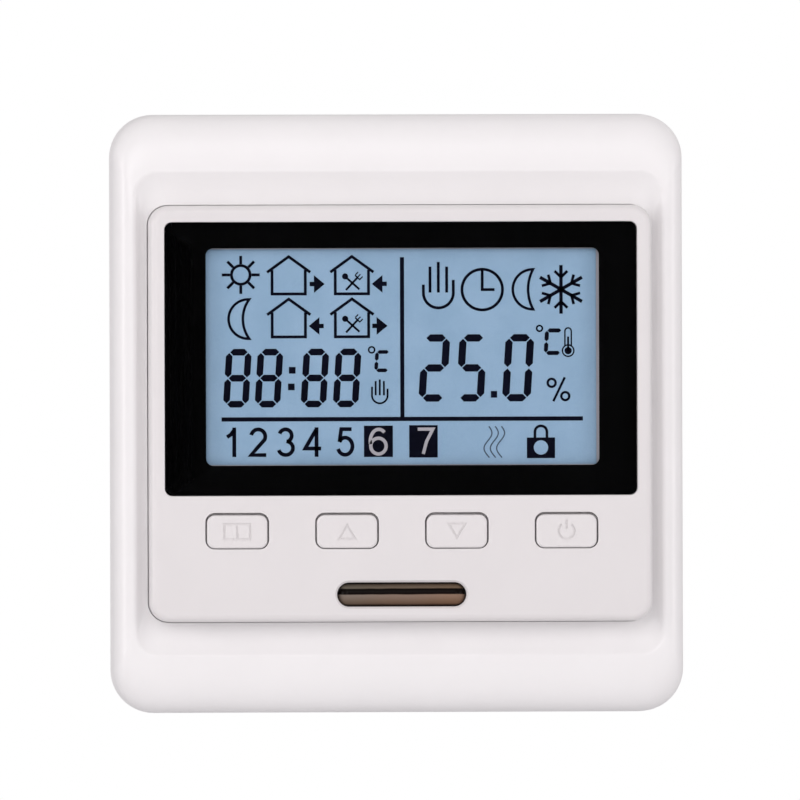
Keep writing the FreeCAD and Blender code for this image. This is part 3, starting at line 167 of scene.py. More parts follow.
def moulded(name, colour, roughness, grain=0.004, grain_scale=2600, mottle=0.02):
    """A moulded plastic: faint cloudy colour, uneven gloss, and a fine spark-eroded grain."""
    s = Shader(name)
    dark, light = shades(colour, mottle)
    s.colour(s.ramp(s.noise(90, 4), [(0.3, dark), (0.7, light)]))
    s.rough(s.spread(s.noise(420, 3), roughness - 0.05, roughness + 0.06))
    s.bump(s.noise(grain_scale, 2), grain * MM)
    return s


def metal(name, colour, roughness, across=(1.0, 1.0, 1.0), streak=900, spots=0.06):
    """A drawn or rolled metal with streaks along one axis and a plated, cloudy tone."""
    s = Shader(name)
    dark, light = shades(colour, spots)
    s.colour(s.ramp(s.noise(260, 5, 0.65), [(0.35, dark), (0.68, light)]))
    lines = s.noise(streak, 4, 0.6, s.stretched(across))
    s.rough(s.spread(lines, roughness - 0.1, roughness + 0.12))
    s.bump(lines, 0.006 * MM)
    return s.plain(metallic=1.0)


WHITE = (0.9, 0.893, 0.895)
PANEL_WHITE = (0.785, 0.765, 0.767)
STUDIO_LIGHT = (1.0, 0.965, 0.975)


def white_plastic():
    s = moulded("white_abs", WHITE, 0.36, mottle=0.008)
    return s.plain(coat_weight=0.15, coat_roughness=0.2)


def panel_plastic():
    s = moulded("panel_abs", PANEL_WHITE, 0.34, mottle=0.008)
    return s.plain(coat_weight=0.12, coat_roughness=0.2)


def button_plastic():
    s = moulded("button_abs", PANEL_WHITE, 0.4, mottle=0.008, grain_scale=3200)
    return s.plain(coat_weight=0.1, coat_roughness=0.25)


def window_acrylic():
    """Clear acrylic: all light straight through, with a polished face on top of it."""
    s = Shader("window_acrylic")
    clear = s.add("ShaderNodeBsdfTransparent")
    clear.inputs["Color"].default_value = (0.985, 0.99, 0.99, 1)
    s.plain(base_color=(0, 0, 0, 1), ior=1.49)
    s.rough(s.spread(s.noise(60, 3), 0.02, 0.06))
    angle = s.add("ShaderNodeLayerWeight")
    angle.inputs["Blend"].default_value = 0.5
    grazing = s.math("POWER", angle.outputs["Facing"], 5.0)
    gloss = s.math("MULTIPLY_ADD", grazing, 0.9, 0.03)
    mix = s.add("ShaderNodeMixShader")
    s.join(gloss, mix.inputs["Fac"])
    s.join(clear.outputs["BSDF"], mix.inputs[1])
    s.join(s.main.outputs["BSDF"], mix.inputs[2])
    s.join(mix.outputs["Shader"], s.out.inputs["Surface"])
    return s


def black_print():
    s = moulded("black_print", (0.0012, 0.0012, 0.0014), 0.8, grain=0.001, mottle=0.2)
    return s.plain(specular_ior_level=0.03)


def lcd_back():
    """The bare cell at the edge of the film: pale, silvery lilac."""
    return moulded("lcd_edge", (0.56, 0.55, 0.60), 0.4, grain=0.001, mottle=0.03)


def lcd_film():
    """The blue-grey picture area, with the faint sparkle and clouding of a reflective film."""
    s = Shader("lcd_film")
    cloud = s.ramp(
        s.noise(140, 4, 0.6),
        [(0.3, (0.314, 0.491, 0.687)), (0.72, (0.355, 0.536, 0.74))],
    )
    sparkle = s.ramp(
        s.noise(5200, 2, 0.7), [(0.35, (0.46, 0.46, 0.46)), (0.7, (0.54, 0.54, 0.54))]
    )
    s.colour(s.blend(0.5, cloud, sparkle, "OVERLAY"))
    s.rough(s.spread(s.noise(900, 2), 0.42, 0.55))
    s.bump(s.noise(4200, 2), 0.001 * MM)
    return s.plain(specular_ior_level=0.25)


def lcd_ink():
    s = moulded("lcd_ink", (0.002, 0.0026, 0.0105), 0.6, grain=0.001, mottle=0.25)
    return s.plain(specular_ior_level=0.05)


def lcd_bright():
    return moulded("lcd_bright", (0.47, 0.455, 0.5), 0.45, grain=0.001, mottle=0.05)


def lcd_pale_ink():
    return moulded("lcd_pale_ink", (0.045, 0.085, 0.15), 0.45, grain=0.001, mottle=0.1)


def smoked_lens():
    """Dark brown polished plastic with painted light in its colour: a grey-brown painted
    highlight band above, a black painted reflection band across the upper middle, painted tan
    glow below, and painted shade along the edges and at both ends.
    """
    s = Shader("smoked_lens")
    low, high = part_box("indicator_lens")
    parts = s.add("ShaderNodeSeparateXYZ")
    s.join(s.place, parts.inputs["Vector"])
    waver = s.spread(s.noise(120, 2), -0.06, 0.06)
    middle = (low.z + high.z) / 2
    half = 1.7 * MM
    across = s.spread(parts.outputs["Z"], 0.0, 1.0, middle - half, middle + half)
    across = s.math("ADD", across, waver)
    # Painted reflection and glow across the height: painted shade at the lower edge, painted
    # tan glow below, a black painted reflection band, a grey-brown painted highlight band, and
    # painted shade at the upper edge.
    painted_reflection_bands = s.ramp(
        across,
        [
            (0.0, (0.03, 0.018, 0.012)),
            (0.12, (0.16, 0.115, 0.085)),
            (0.48, (0.22, 0.175, 0.15)),
            (0.53, (0.004, 0.002, 0.0015)),
            (0.74, (0.003, 0.0015, 0.001)),
            (0.80, (0.14, 0.12, 0.095)),
            (0.93, (0.1, 0.082, 0.065)),
            (1.0, (0.02, 0.014, 0.01)),
        ],
    )
    along = s.spread(parts.outputs["X"], 0.0, 1.0, low.x, high.x)
    # Painted shade towards both ends, and a painted warmer glow towards the right.
    painted_end_shade_and_warmth = s.ramp(
        along,
        [
            (0.0, (0.3, 0.29, 0.28)),
            (0.08, (0.92, 0.93, 0.9)),
            (0.5, (1.04, 0.92, 0.84)),
            (0.92, (1.15, 0.93, 0.76)),
            (1.0, (0.35, 0.28, 0.22)),
        ],
    )
    s.colour(s.blend(1.0, painted_reflection_bands, painted_end_shade_and_warmth, "MULTIPLY"))
    s.rough(s.spread(s.noise(200, 2), 0.22, 0.3))
    return s.plain(specular_ior_level=0.06)


def frosted():
    s = moulded("frosted_acrylic", (0.78, 0.8, 0.82), 0.5, mottle=0.02)
    return s.plain(subsurface_weight=0.15, subsurface_scale=0.002)


def circuit_board(name, mask, track, grid=780):
    """Solder resist with tracks showing faintly through it and small pads."""
    s = Shader(name)
    cells = s.add("ShaderNodeTexVoronoi", feature="DISTANCE_TO_EDGE", distance="MANHATTAN")
    cells.inputs["Scale"].default_value = grid
    cells.inputs["Randomness"].default_value = 0.75
    s.join(s.place, cells.inputs["Vector"])
    lines = s.ramp(
        cells.outputs["Distance"], [(0.0, track), (0.09, track), (0.13, mask)], smooth=False
    )
    dark, light = shades((1.0, 1.0, 1.0), 0.12)
    cloud = s.ramp(s.noise(160, 3), [(0.3, dark), (0.7, light)])
    s.colour(s.blend(1.0, lines, cloud, "MULTIPLY"))
    s.rough(s.spread(s.noise(700, 2), 0.22, 0.4))
    s.bump(cells.outputs["Distance"], 0.01 * MM, 0.4)
    return s


def copper_winding():
    """Enamelled wire wound round X, one turn beside the next."""
    s = Shader("copper_winding")
    wave = s.add("ShaderNodeTexWave", wave_type="BANDS", bands_direction="X")
    wave.inputs["Scale"].default_value = 900
    wave.inputs["Distortion"].default_value = 0.6
    wave.inputs["Detail"].default_value = 1.0
    s.join(s.place, wave.inputs["Vector"])
    s.colour(
        s.ramp(wave.outputs["Fac"], [(0.1, (0.2, 0.055, 0.02)), (0.8, (0.62, 0.24, 0.09))])
    )
    s.rough(s.spread(wave.outputs["Fac"], 0.45, 0.25))
    s.bump(wave.outputs["Fac"], 0.05 * MM)
    return s.plain(metallic=0.7)


def ceramic_tube():
    return moulded("ceramic_tube", (0.72, 0.7, 0.64), 0.3, grain=0.003, mottle=0.04)


def charcoal_nylon():
    colour = (0.033, 0.035, 0.038)
    return moulded("charcoal_nylon", colour, 0.52, grain=0.014, grain_scale=1700, mottle=0.08)


def varistor_epoxy():
    return moulded("varistor_epoxy", (0.02, 0.09, 0.36), 0.3, grain=0.02, grain_scale=900)


def build_materials():
    zinc = (0.60, 0.62, 0.65)
    return {
        "white_plastic": white_plastic(),
        "panel_plastic": panel_plastic(),
        "clear_window": window_acrylic(),
        "black_print": black_print(),
        "lcd_glass": lcd_back(),
        "milky_plastic": frosted(),
        "led_yellow": moulded("led_body", (0.8, 0.72, 0.3), 0.25),
        "conductive_rubber": moulded("silicone_strip", (0.03, 0.03, 0.033), 0.75, grain=0.01),
        "smoked_lens": smoked_lens(),
        "red_lamp": moulded("lamp_epoxy", (0.6, 0.03, 0.02), 0.12, grain=0.0),
        "sensor_bead": moulded("epoxy_bead", (0.02, 0.02, 0.022), 0.2, grain=0.004),
        "green_board": circuit_board("green_resist", (0.012, 0.10, 0.04), (0.02, 0.17, 0.06)),
        "black_component": moulded("component_black", (0.018, 0.018, 0.02), 0.55, grain=0.008),
        "cell_steel": metal("cell_steel", (0.68, 0.68, 0.69), 0.28),
        "pin_brass": metal("pin_gold", (0.83, 0.62, 0.26), 0.24),
        "grey_plastic": moulded("grey_abs", (0.52, 0.52, 0.515), 0.5, grain=0.008),
        "zinc_screw": metal("zinc_screw", (0.66, 0.67, 0.69), 0.3),
        "zinc_plate": metal("zinc_plate", zinc, 0.36, across=(0.06, 1.0, 1.0), streak=1400),
        "spring_steel": metal("spring_steel", (0.5, 0.5, 0.52), 0.3, across=(1.0, 1.0, 0.1)),
        "dark_plastic": charcoal_nylon(),
        "brown_board": circuit_board("phenolic", (0.22, 0.12, 0.045), (0.3, 0.17, 0.07), 420),
        "white_socket": moulded("socket_nylon", (0.72, 0.7, 0.64), 0.5, grain=0.006),
        "film_box": moulded("capacitor_box", (0.62, 0.36, 0.03), 0.32),
        "varistor_blue": varistor_epoxy(),
        "can_sleeve": moulded("sleeve_black", (0.016, 0.016, 0.02), 0.28),
        "fuse_ceramic": ceramic_tube(),
        "terminal_green": moulded("terminal_nylon", (0.03, 0.19, 0.05), 0.45, grain=0.008),
        "tinned_brass": metal("tinned_brass", (0.72, 0.68, 0.56), 0.3),
        "terminal_screw_steel": metal("terminal_screw", (0.68, 0.64, 0.52), 0.3),
        "clamp_steel": metal("clamp_steel", (0.62, 0.6, 0.55), 0.34),
        "relay_blue": moulded("relay_cover", (0.015, 0.06, 0.26), 0.38, grain=0.006),
        "relay_base_black": moulded("relay_base", (0.02, 0.02, 0.022), 0.5),
        "copper_coil": copper_winding(),
        "iron": metal("soft_iron", (0.45, 0.45, 0.46), 0.4),
        "contact_metal": metal("contact_brass", (0.76, 0.58, 0.28), 0.3),
    }


def paint_cad(materials):
    """Gives every CAD node the procedural material of its slot."""
    slot_of = {row["node"]: row["material_slot"] for row in frame["record"]["subparts"]}
    for name, item in nodes.items():
        item.data.materials.clear()
        item.data.materials.append(materials[slot_of[name]].material)
    for name in ("menu", "up", "down", "power"):
        nodes[f"button_{name}"].data.materials[0] = button_plastic().material


# ---- flat printed shapes ---------------------------------------------------------------------


PRINT_DEPTH = 0.02


class Print:
    """Thin shapes in a plane parallel to the wall, gathered into one mesh.

    x and z are millimetres from the centre of the picture area."""

    def __init__(self, centre, y, thickness=PRINT_DEPTH):
        self.centre = centre
        self.y = y
        self.thickness = thickness * MM
        self.mesh = bmesh.new()

    def polygon(self, points):
        """A solid plate with this outline, given anticlockwise or clockwise."""
        area = sum(
            a[0] * b[1] - b[0] * a[1] for a, b in zip(points, points[1:] + points[:1])
        )
        if area < 0:
            points = points[::-1]
        front = [self.vertex(p, self.y - self.thickness) for p in points]
        back = [self.vertex(p, self.y) for p in points]
        self.mesh.faces.new(front)
        self.mesh.faces.new(back[::-1])
        for i in range(len(points)):
            j = (i + 1) % len(points)
            self.mesh.faces.new((front[j], front[i], back[i], back[j]))

    def vertex(self, point, y):
        return self.mesh.verts.new(
            (self.centre[0] + point[0] * MM, y, self.centre[1] + point[1] * MM)
        )

    def band(self, outer, inner, closed):
        """A plate between two lines with the same number of points."""
        loops = [
            [self.vertex(p, y) for p in line]
            for y in (self.y - self.thickness, self.y)
            for line in (outer, inner)
        ]
        front_out, front_in, back_out, back_in = loops
        last = len(outer) - 1
        for i in range(last + 1 if closed else last):
            j = 0 if i == last else i + 1
            for quad in (
                (front_out[i], front_out[j], front_in[j], front_in[i]),
                (back_out[j], back_out[i], back_in[i], back_in[j]),
                (front_out[j], front_out[i], back_out[i], back_out[j]),
                (front_in[i], front_in[j], back_in[j], back_in[i]),
            ):
                self.mesh.faces.new(quad)
        if not closed:
            self.mesh.faces.new((front_out[0], front_in[0], back_in[0], back_out[0]))
            self.mesh.faces.new((front_in[-1], front_out[-1], back_out[-1], back_in[-1]))

    def stroke(self, points, width, closed=False):
        """A line of even width with mitred corners."""
        self.band(*offset_line(points, width / 2, closed), closed)

    def circle(self, x, z, radius, width, steps=40):
        self.stroke(arc_points(x, z, radius, 0, 360, steps)[:-1], width, closed=True)

    def dot(self, x, z, radius, steps=28):
        self.polygon(arc_points(x, z, radius, 0, 360, steps)[:-1])

    def rectangle(self, left, low, right, high):
        self.polygon([(left, low), (right, low), (right, high), (left, high)])

    def finish(self, name, shader, body="control_module"):
        bmesh.ops.recalc_face_normals(self.mesh, faces=self.mesh.faces)
        data = bpy.data.meshes.new(name)
        self.mesh.to_mesh(data)
        self.mesh.free()
        item = bpy.data.objects.new(name, data)
        bpy.context.scene.collection.objects.link(item)
        data.materials.append(shader.material)
        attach(item, body)


def offset_line(points, half, closed):
    """The two sides of a line, offset by half its width, with mitred corners."""
    count = len(points)
    left, right = [], []
    for i, (x, z) in enumerate(points):
        before = points[i - 1] if closed or i > 0 else None
        after = points[(i + 1) % count] if closed or i < count - 1 else None
        normals = []
        for a, b in ((before, (x, z)), ((x, z), after)):
            if a is not None and b is not None:
                dx, dz = b[0] - a[0], b[1] - a[1]
                length = math.hypot(dx, dz)
                normals.append((-dz / length, dx / length))
        nx = sum(n[0] for n in normals) / len(normals)
        nz = sum(n[1] for n in normals) / len(normals)
        square = max(nx * nx + nz * nz, 0.2)
        left.append((x + nx * half / square, z + nz * half / square))
        right.append((x - nx * half / square, z - nz * half / square))
    return left, right


def arc_points(x, z, radius, start, end, steps=24):
    """Points on an arc, in degrees anticlockwise from +X."""
    return [
        (
            x + radius * math.cos(math.radians(start + (end - start) * i / steps)),
            z + radius * math.sin(math.radians(start + (end - start) * i / steps)),
        )
        for i in range(steps + 1)
    ]


# ---- display pictures ------------------------------------------------------------------------

LINE = 0.43
THIN = 0.22
SLANT = 0.062
FILM_DEPTH = 0.1

# the bars that each character of the time and the temperature lights up
SEGMENTS = {
    "0": "abcdef",
    "2": "abged",
    "5": "afgcd",
    "8": "abcdefg",
    "C": "afed",
}


def seven_segments(sheet, digit, left, low, width, height, thick, gap=0.11):
    """One digit made of bars with pointed ends, leaning to the right."""
    middle = low + height / 2
    half = thick / 2
    x0, x1 = left + half, left + width - half
    z0, z1 = low + half, low + height - half

    def bar(ax, az, bx, bz):
        dx, dz = bx - ax, bz - az
        length = math.hypot(dx, dz)
        ux, uz = dx / length, dz / length
        ax, az, bx, bz = ax + ux * gap, az + uz * gap, bx - ux * gap, bz - uz * gap
        nx, nz = -uz * half, ux * half
        corners = (
            (ax, az),
            (ax + ux * half + nx, az + uz * half + nz),
            (bx - ux * half + nx, bz - uz * half + nz),
            (bx, bz),
            (bx - ux * half - nx, bz - uz * half - nz),
            (ax + ux * half - nx, az + uz * half - nz),
        )
        return [(x + (z - low) * SLANT, z) for x, z in corners]

    ends = {
        "a": (x0, z1, x1, z1),
        "b": (x1, middle, x1, z1),
        "c": (x1, z0, x1, middle),
        "d": (x0, z0, x1, z0),
        "e": (x0, z0, x0, middle),
        "f": (x0, middle, x0, z1),
        "g": (x0, middle, x1, middle),
    }
    for name in SEGMENTS[digit]:
        sheet.polygon(bar(*ends[name]))


def sun(sheet, x, z):
    disc, ray_start, ray_end, rays = 1.4, 1.62, 2.85, 8
    sheet.circle(x, z, disc, LINE)
    for i in range(rays):
        angle = 2 * math.pi * i / rays
        c, s = math.cos(angle), math.sin(angle)
        sheet.stroke([(x + reach * c, z + reach * s) for reach in (ray_start, ray_end)], LINE)


def moon(sheet, tip_x, top, bottom, left, hollow):
    """A crescent with its tips at tip_x, its outside at left and its inside at hollow."""
    line_width = 0.4
    z = (top + bottom) / 2
    half = (top - bottom) / 2

    def side(reach):
        depth = tip_x - reach
        radius = (half * half + depth * depth) / (2 * depth)
        angle = math.degrees(math.asin(min(1.0, half / radius)))
        if depth > half:
            angle = 180 - angle
        return arc_points(reach + radius, z, radius, 180 - angle, 180 + angle, 28)

    outside, inside = side(left), side(hollow)
    sheet.stroke(outside + inside[1:-1][::-1], line_width, closed=True)


def house(sheet, x, apex, eaves, floor):
    """A roof over three walls, drawn with one line each."""
    roof, wall = 3.25, 2.5
    sheet.stroke([(x - roof, eaves), (x, apex), (x + roof, eaves)], LINE)
    top = eaves + (roof - wall) * (apex - eaves) / roof - LINE / 2
    sheet.stroke([(x - wall, top), (x - wall, floor), (x + wall, floor), (x + wall, top)], LINE)


def cutlery(sheet, x, z):
    """A spoon and a fork, crossed."""
    bowl, handle, prong, spacing = 0.46, 0.32, 0.18, 0.34
    sheet.dot(x - 1.1, z + 0.95, bowl)
    sheet.stroke([(x - 0.9, z + 0.75), (x + 1.05, z - 1.0)], handle)
    sheet.stroke([(x + 0.7, z + 0.7), (x - 0.97, z - 1.1)], handle)
    for shift in (-spacing, 0.0, spacing):
        tine = [(x + 0.78 + shift, z + 0.82 - shift), (x + 1.2 + shift, z + 1.26 - shift)]
        sheet.stroke(tine, prong)
    sheet.stroke([(x + 0.4, z + 1.12), (x + 1.14, z + 0.42)], THIN)


def arrow(sheet, tail, base, tip, z):
    """A solid arrow from tail to tip along X."""
    shaft, half = 0.33, 1.33
    sheet.polygon(
        [
            (tail, z - shaft),
            (base, z - shaft),
            (base, z - half),
            (tip, z),
            (base, z + half),
            (base, z + shaft),
            (tail, z + shaft),
        ]
    )


def hand(sheet, x, tops, spacing, foot, half, shoulders, bottom, width):
    """An open hand: three fingers, and a palm that runs up into the thumb and little finger."""
    for place, top in zip((-1, 0, 1), tops):
        sheet.stroke([(x + place * spacing, top), (x + place * spacing, foot)], width)
    centre = bottom + half
    palm = arc_points(x, centre, half, 180, 360, 20)
    sheet.stroke([(x - half, shoulders[0])] + palm + [(x + half, shoulders[1])], width)


def clock_face(sheet, x, z, radius):
    hour_hand = 1.85
    sheet.circle(x, z, radius, LINE, 56)
    sheet.stroke([(x, z + radius), (x, z), (x + hour_hand, z)], LINE)


def snowflake(sheet, x, z, arm):
    branch, spread, arm_width, branch_width = 1.35, 0.8, 0.52, 0.42
    for i in range(6):
        a = math.radians(90 + 60 * i)
        c, s = math.cos(a), math.sin(a)
        sheet.stroke([(x, z), (x + arm * c, z + arm * s)], arm_width)
        root = (x + arm * 0.5 * c, z + arm * 0.5 * s)
        for turn in (-spread, spread):
            tip = (
                root[0] + branch * math.cos(a + turn),
                root[1] + branch * math.sin(a + turn),
            )
            sheet.stroke([root, tip], branch_width)


def thermometer(sheet, x, bulb, top):
    tube, tube_foot, drop, glass, column = 0.48, 0.8, 0.55, 0.86, 0.3
    sheet.dot(x, bulb, drop)
    sheet.circle(x, bulb, glass, THIN, 32)
    dome = arc_points(x, top - tube, tube, 180, 0, 10)
    foot = bulb + tube_foot
    sheet.stroke([(x - tube, foot)] + dome + [(x + tube, foot)], THIN)
    sheet.stroke([(x, bulb), (x, top - 1.3)], column)


def percent(sheet, x, z):
    ring, line_width = 0.6, 0.36
    sheet.stroke([(x - 0.87, z - 1.8), (x + 0.87, z + 1.8)], line_width)
    sheet.circle(x - 1.12, z + 0.97, ring, line_width, 28)
    sheet.circle(x + 0.93, z - 1.03, ring, line_width, 28)


def oval(x, z, reach_x, reach_z, start, end, steps=18):
    """Part of an ellipse, in degrees anticlockwise from +X."""
    return [
        (x + reach_x * c, z + reach_z * s) for c, s in arc_points(0, 0, 1, start, end, steps)
    ]


# how far a stem's square end reaches past the box of centre lines: half a stroke
STEM_END = 0.075

# centre lines of the day numbers, in a box one wide and one high
NUMBER_LINES = {
    1: [[(0.78, -STEM_END), (0.78, 1 + STEM_END)], [(0.02, 0.70), (0.42, 0.80), (0.76, 0.97)]],
    2: [oval(0.5, 0.72, 0.44, 0.28, 168, -28) + [(0.5, 0.32), (0.06, 0.0), (1.0, 0.0)]],
    3: [oval(0.47, 0.755, 0.41, 0.245, 162, -78), oval(0.48, 0.268, 0.48, 0.268, 84, -164)],
    4: [
        [(0.72, -STEM_END), (0.72, 1 + STEM_END)],
        [(0.68, 0.97), (0.03, 0.25), (1.0, 0.25)],
    ],
    5: [
        [(0.93, 1.0), (0.24, 1.0), (0.12, 0.5)],
        [(0.12, 0.5)] + oval(0.49, 0.335, 0.49, 0.335, 118, -162),
    ],
    6: [oval(0.54, 0.52, 0.52, 0.48, 48, 195), oval(0.52, 0.32, 0.47, 0.32, 0, 360, 36)],
    7: [[(0.0, 1.0), (1.0, 1.0), (0.58, 0.5), (0.36, 0.0)]],
}


def day_number(sheet, digit, left, low, width, height, thick):
    """One day number, drawn along its centre lines."""
    half = thick / 2
    for line in NUMBER_LINES[digit]:
        placed = [
            (left + half + x * (width - thick), low + half + z * (height - thick))
            for x, z in line
        ]
        sheet.stroke(placed, thick)


def padlock(sheet, x, low, half_width, top):
    sheet.rectangle(x - half_width, low, x + half_width, top)
    bow, rise, bow_width = 0.9, 0.85, 0.4
    arch = arc_points(x, top + rise, bow, 180, 0, 16)
    sheet.stroke([(x - bow, top)] + arch + [(x + bow, top)], bow_width)


def heat_wave(sheet, x):
    """One turn of a wavy line, from the top of the row to its foot."""
    top, length, steps = -10.5, 4.7, 22
    wavelength, swing, phase, line_width = 4.6, 0.6, 0.15, 0.2
    points = []
    for i in range(steps + 1):
        z = top - length * i / steps
        points.append((x + swing * math.sin(2 * math.pi * (phase + top - z) / wavelength), z))
    sheet.stroke(points, line_width)


def picture_film(centre, cell_front):
    """The coloured picture area, tucked under the black border on its left."""
    half_x, half_z, hidden = 29.55, 16.3, 0.5
    film = Print(centre, cell_front, FILM_DEPTH)
    film.rectangle(-half_x - hidden, -half_z + 0.12, half_x - 0.34, half_z - 0.14)
    film.finish("lcd_film", lcd_film())


def program_signs(centre, y, ink):
    """Day and night, and houses with arrows for going out and coming home."""
    empty_house, eating_house, cutlery_drop = -17.0, -7.5, 3.93
    upper, lower = 10.93, 4.63
    sheet = Print(centre, y)
    sun(sheet, -24.2, 12.33)
    moon(sheet, -22.95, 8.65, 2.75, -26.05, -23.9)
    for apex, eaves, floor in ((15.05, 12.7, 9.45), (8.68, 6.33, 3.0)):
        house(sheet, empty_house, apex, eaves, floor)
        house(sheet, eating_house, apex, eaves, floor)
        cutlery(sheet, -7.42, apex - cutlery_drop)
    arrow(sheet, -13.85, -13.2, -11.6, upper)
    arrow(sheet, -2.25, -2.9, -4.5, upper)
    arrow(sheet, -11.75, -12.4, -14.0, lower)
    arrow(sheet, -4.45, -3.8, -2.15, lower)
    sheet.finish("lcd_program_signs", ink)


def divider_lines(centre, y, ink):
    sheet = Print(centre, y)
    sheet.rectangle(-0.27, -9.1, 0.35, 14.93)
    sheet.rectangle(-27.15, -9.67, 27.2, -9.04)
    sheet.finish("lcd_divider_lines", ink)


def time_digits(centre, y, ink):
    low, width, height, thick = -7.57, 3.85, 8.8, 1.0
    sheet = Print(centre, y)
    for left in (-26.95, -22.2, -15.3, -10.45):
        seven_segments(sheet, "8", left, low, width, height, thick)
    sheet.rectangle(-17.0, -2.5, -16.0, -1.5)
    sheet.rectangle(-17.15, -5.0, -16.15, -4.0)
    sheet.finish("lcd_time", ink)


def room_signs(centre, y, ink):
    """The small degree sign and hand beside the time."""
    sheet = Print(centre, y)
    sheet.circle(-4.56, 1.03, 0.45, 0.25, 24)
    seven_segments(sheet, "C", -4.2, -2.32, 2.35, 3.3, 0.55, 0.04)
    hand(sheet, -3.35, (-3.65, -3.42, -3.65), 0.62, -5.8, 1.17, (-4.5, -4.8), -7.0, 0.28)
    sheet.finish("lcd_room_signs", ink)


def mode_signs(centre, y, ink):
    """The row of four: by hand, by the clock, night, and frost."""
    sheet = Print(centre, y)
    hand(sheet, 5.5, (13.5, 14.2, 13.5), 1.25, 9.6, 2.25, (10.8, 11.5), 7.3, LINE)
    clock_face(sheet, 12.1, 10.03, 3.05)
    moon(sheet, 19.75, 13.05, 7.05, 16.7, 19.0)
    snowflake(sheet, 23.95, 10.03, 3.65)
    sheet.finish("lcd_mode_signs", ink)


def temperature(centre, y, ink):
    low, height, thick = -6.77, 10.1, 1.1
    sheet = Print(centre, y)
    for digit, left, width in (("2", 2.43, 4.25), ("5", 8.07, 4.2), ("0", 15.0, 4.32)):
        seven_segments(sheet, digit, left, low, width, height, thick)
    sheet.rectangle(13.35, -6.2, 14.3, -5.2)
    sheet.finish("lcd_temperature", ink)


def unit_signs(centre, y, ink):
    sheet = Print(centre, y)
    sheet.circle(20.7, 4.18, 0.43, 0.26, 24)
    seven_segments(sheet, "C", 21.3, 0.18, 2.8, 4.0, 0.62, 0.05)
    thermometer(sheet, 25.0, 0.83, 4.25)
    percent(sheet, 23.62, -4.97)
    sheet.finish("lcd_unit_signs", ink)


def day_row(centre, y, ink):
    """Days 1 to 5 in dark ink, 6 and 7 in pale on dark boxes, and the padlock."""
    low, height, thick = -15.0, 4.43, 0.58
    lock_x = 20.87
    weekdays = (
        (1, -26.65, 2.0),
        (2, -23.15, 3.0),
        (3, -18.9, 2.85),
        (4, -14.95, 3.05),
        (5, -10.0, 2.85),
    )
    sheet = Print(centre, y)
    for digit, left, width in weekdays:
        day_number(sheet, digit, left, low, width, height, thick)
    padlock(sheet, lock_x, -15.3, 2.12, -12.2)
    sheet.finish("lcd_day_numbers", ink)

    boxes = Print(centre, y)
    boxes.rectangle(-5.75, -15.05, -1.4, -10.35)
    boxes.rectangle(1.05, -15.15, 5.34, -10.3)
    boxes.finish("lcd_weekend_boxes", ink)

    over_ink = y - PRINT_DEPTH * MM
    pale_low, pale_height = -14.85, 4.2
    light = Print(centre, over_ink)
    day_number(light, 6, -5.1, pale_low, 2.95, pale_height, 0.5)
    day_number(light, 7, 2.1, pale_low, 2.75, pale_height, 0.48)
    light.finish("lcd_weekend_numbers", lcd_bright())

    keyhole = Print(centre, over_ink)
    keyhole.dot(lock_x, -13.7, 1.08)
    keyhole.finish("lcd_keyhole", lcd_film())


def heat_waves(centre, y, ink):
    sheet = Print(centre, y)
    for x in (12.9, 13.85, 14.8):
        heat_wave(sheet, x)
    sheet.finish("lcd_heat_waves", ink)


def display():
    """The film and everything the liquid crystal shows, just in front of the cell."""
    low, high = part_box("display_mask")
    view_shift = 0.3 * MM
    centre = ((low.x + high.x) / 2 + view_shift, (low.z + high.z) / 2 + view_shift)
    cell_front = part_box("lcd_cell")[0].y
    picture_film(centre, cell_front)

    y = cell_front - FILM_DEPTH * MM
    ink, pale = lcd_ink(), lcd_pale_ink()
    for signs in (
        program_signs,
        divider_lines,
        time_digits,
        room_signs,
        mode_signs,
        temperature,
        unit_signs,
        day_row,
    ):
        signs(centre, y, ink)
    heat_waves(centre, y, pale)


# ---- stage -----------------------------------------------------------------------------------


ROOM_TONE = (0.605, 0.584, 0.59, 1)
DARK_PATCH = (0.02, 0.02, 0.02, 1)


def stage():
    """A plain pale floor, some way below the thermostat."""
    floor_z, half_width, near, far = -0.11, 2.0, -2.0, 0.6
    corners = [
        (-half_width, near, floor_z),
        (half_width, near, floor_z),
        (half_width, far, floor_z),
        (-half_width, far, floor_z),
    ]
    data = bpy.data.meshes.new("floor")
    data.from_pydata(corners, [], [(0, 1, 2, 3)])
    floor = bpy.data.objects.new("floor", data)
    bpy.context.scene.collection.objects.link(floor)
    s = Shader("floor_paper")
    s.colour(s.ramp(s.noise(3, 2), [(0.3, (0.84, 0.84, 0.85)), (0.7, (0.86, 0.86, 0.87))]))
    s.plain(roughness=0.9)
    data.materials.append(s.material)


def area_light(name, place, target, size, power):
    """A rectangular soft box that faces its target."""
    data = bpy.data.lights.new(name, "AREA")
    data.shape = "RECTANGLE"
    data.size, data.size_y = size
    data.energy = power
    data.color = STUDIO_LIGHT
    item = bpy.data.objects.new(name, data)
    bpy.context.scene.collection.objects.link(item)
    item.location = place
    item.rotation_euler = (Vector(target) - Vector(place)).to_track_quat("-Z", "Y").to_euler()


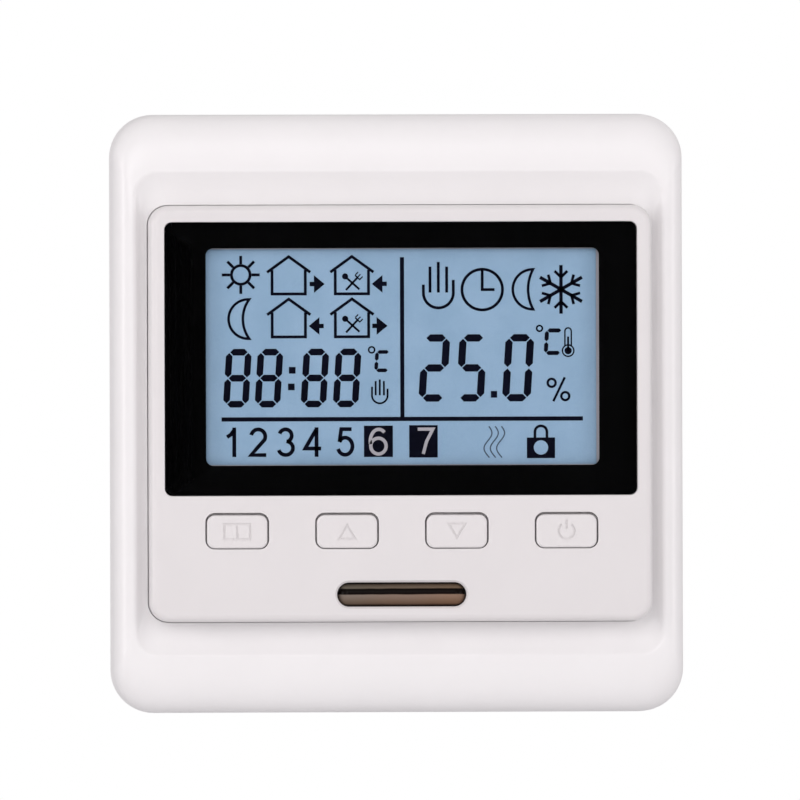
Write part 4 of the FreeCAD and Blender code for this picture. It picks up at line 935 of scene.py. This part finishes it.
def room():
    """A pale room with a dark patch behind the camera, and plain white as the background."""
    world = bpy.data.worlds.new("studio")
    bpy.context.scene.world = world
    world.use_nodes = True
    tree = world.node_tree
    background = next(n for n in tree.nodes if n.type == "BACKGROUND")
    out = next(n for n in tree.nodes if n.type == "OUTPUT_WORLD")
    coordinates = tree.nodes.new("ShaderNodeTexCoord")
    towards = tree.nodes.new("ShaderNodeVectorMath")
    towards.operation = "DOT_PRODUCT"
    towards.inputs[1].default_value = (0, -1, 0)
    tree.links.new(coordinates.outputs["Generated"], towards.inputs[0])
    shade = tree.nodes.new("ShaderNodeValToRGB")
    shade.color_ramp.interpolation = "EASE"
    stops = shade.color_ramp.elements
    stops[0].position, stops[0].color = 0.975, ROOM_TONE
    stops[1].position, stops[1].color = 0.992, DARK_PATCH
    tree.links.new(towards.outputs["Value"], shade.inputs["Fac"])
    tree.links.new(shade.outputs["Color"], background.inputs["Color"])
    white = tree.nodes.new("ShaderNodeBackground")
    white.inputs["Color"].default_value = (1, 1, 1, 1)
    rays = tree.nodes.new("ShaderNodeLightPath")
    mix = tree.nodes.new("ShaderNodeMixShader")
    tree.links.new(rays.outputs["Is Camera Ray"], mix.inputs["Fac"])
    tree.links.new(background.outputs["Background"], mix.inputs[1])
    tree.links.new(white.outputs["Background"], mix.inputs[2])
    tree.links.new(mix.outputs["Shader"], out.inputs["Surface"])


def studio():
    """Six soft boxes in front and to the sides, and a weak one behind, above the wall."""
    centre = (0, 0, 0)
    for name, place, size, power in (
        ("key", (-0.12, -0.62, 0.25), (0.5, 0.2), 0.5),
        ("front_left", (-0.28, -1.15, 0.16), (0.16, 0.3), 1.15),
        ("front_right", (0.36, -1.12, 0.16), (0.16, 0.3), 0.7),
        ("left", (-1.1, -0.55, 0.05), (0.3, 0.7), 3.8),
        ("right", (1.05, -0.6, 0.05), (0.3, 0.7), 2.7),
        ("low", (0.1, -1.2, -0.42), (0.7, 0.3), 0.7),
    ):
        area_light(name, place, centre, size, power)
    area_light("back", (0.4, 0.9, 0.7), (0, 0.02, 0), (0.8, 0.8), 0.5)
    view = bpy.context.scene.view_settings
    view.view_transform = "Standard"
    view.look = "None"


def camera():
    """Almost straight on, a little from the left, with a long lens."""
    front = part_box("front_panel")[0].y
    aim_x, aim_z, distance = -0.18 * MM, 1.99 * MM, 4.0
    aim = Vector((aim_x, front, aim_z))
    azimuth, roll = math.radians(-3.5), math.radians(-0.17)
    back = Vector((math.sin(azimuth), -math.cos(azimuth), 0))
    data = bpy.data.cameras.new("camera")
    data.lens = 1200
    data.sensor_width = 36
    data.clip_start, data.clip_end = 0.05, 20
    item = bpy.data.objects.new("camera", data)
    bpy.context.scene.collection.objects.link(item)
    turn = (-back).to_track_quat("-Z", "Y").to_matrix().to_4x4()
    tilt = Matrix.Rotation(roll, 4, "Z")
    item.matrix_world = Matrix.Translation(aim + back * distance) @ turn @ tilt
    bpy.context.scene.camera = item


paint_cad(build_materials())
display()
stage()
room()
studio()
camera()
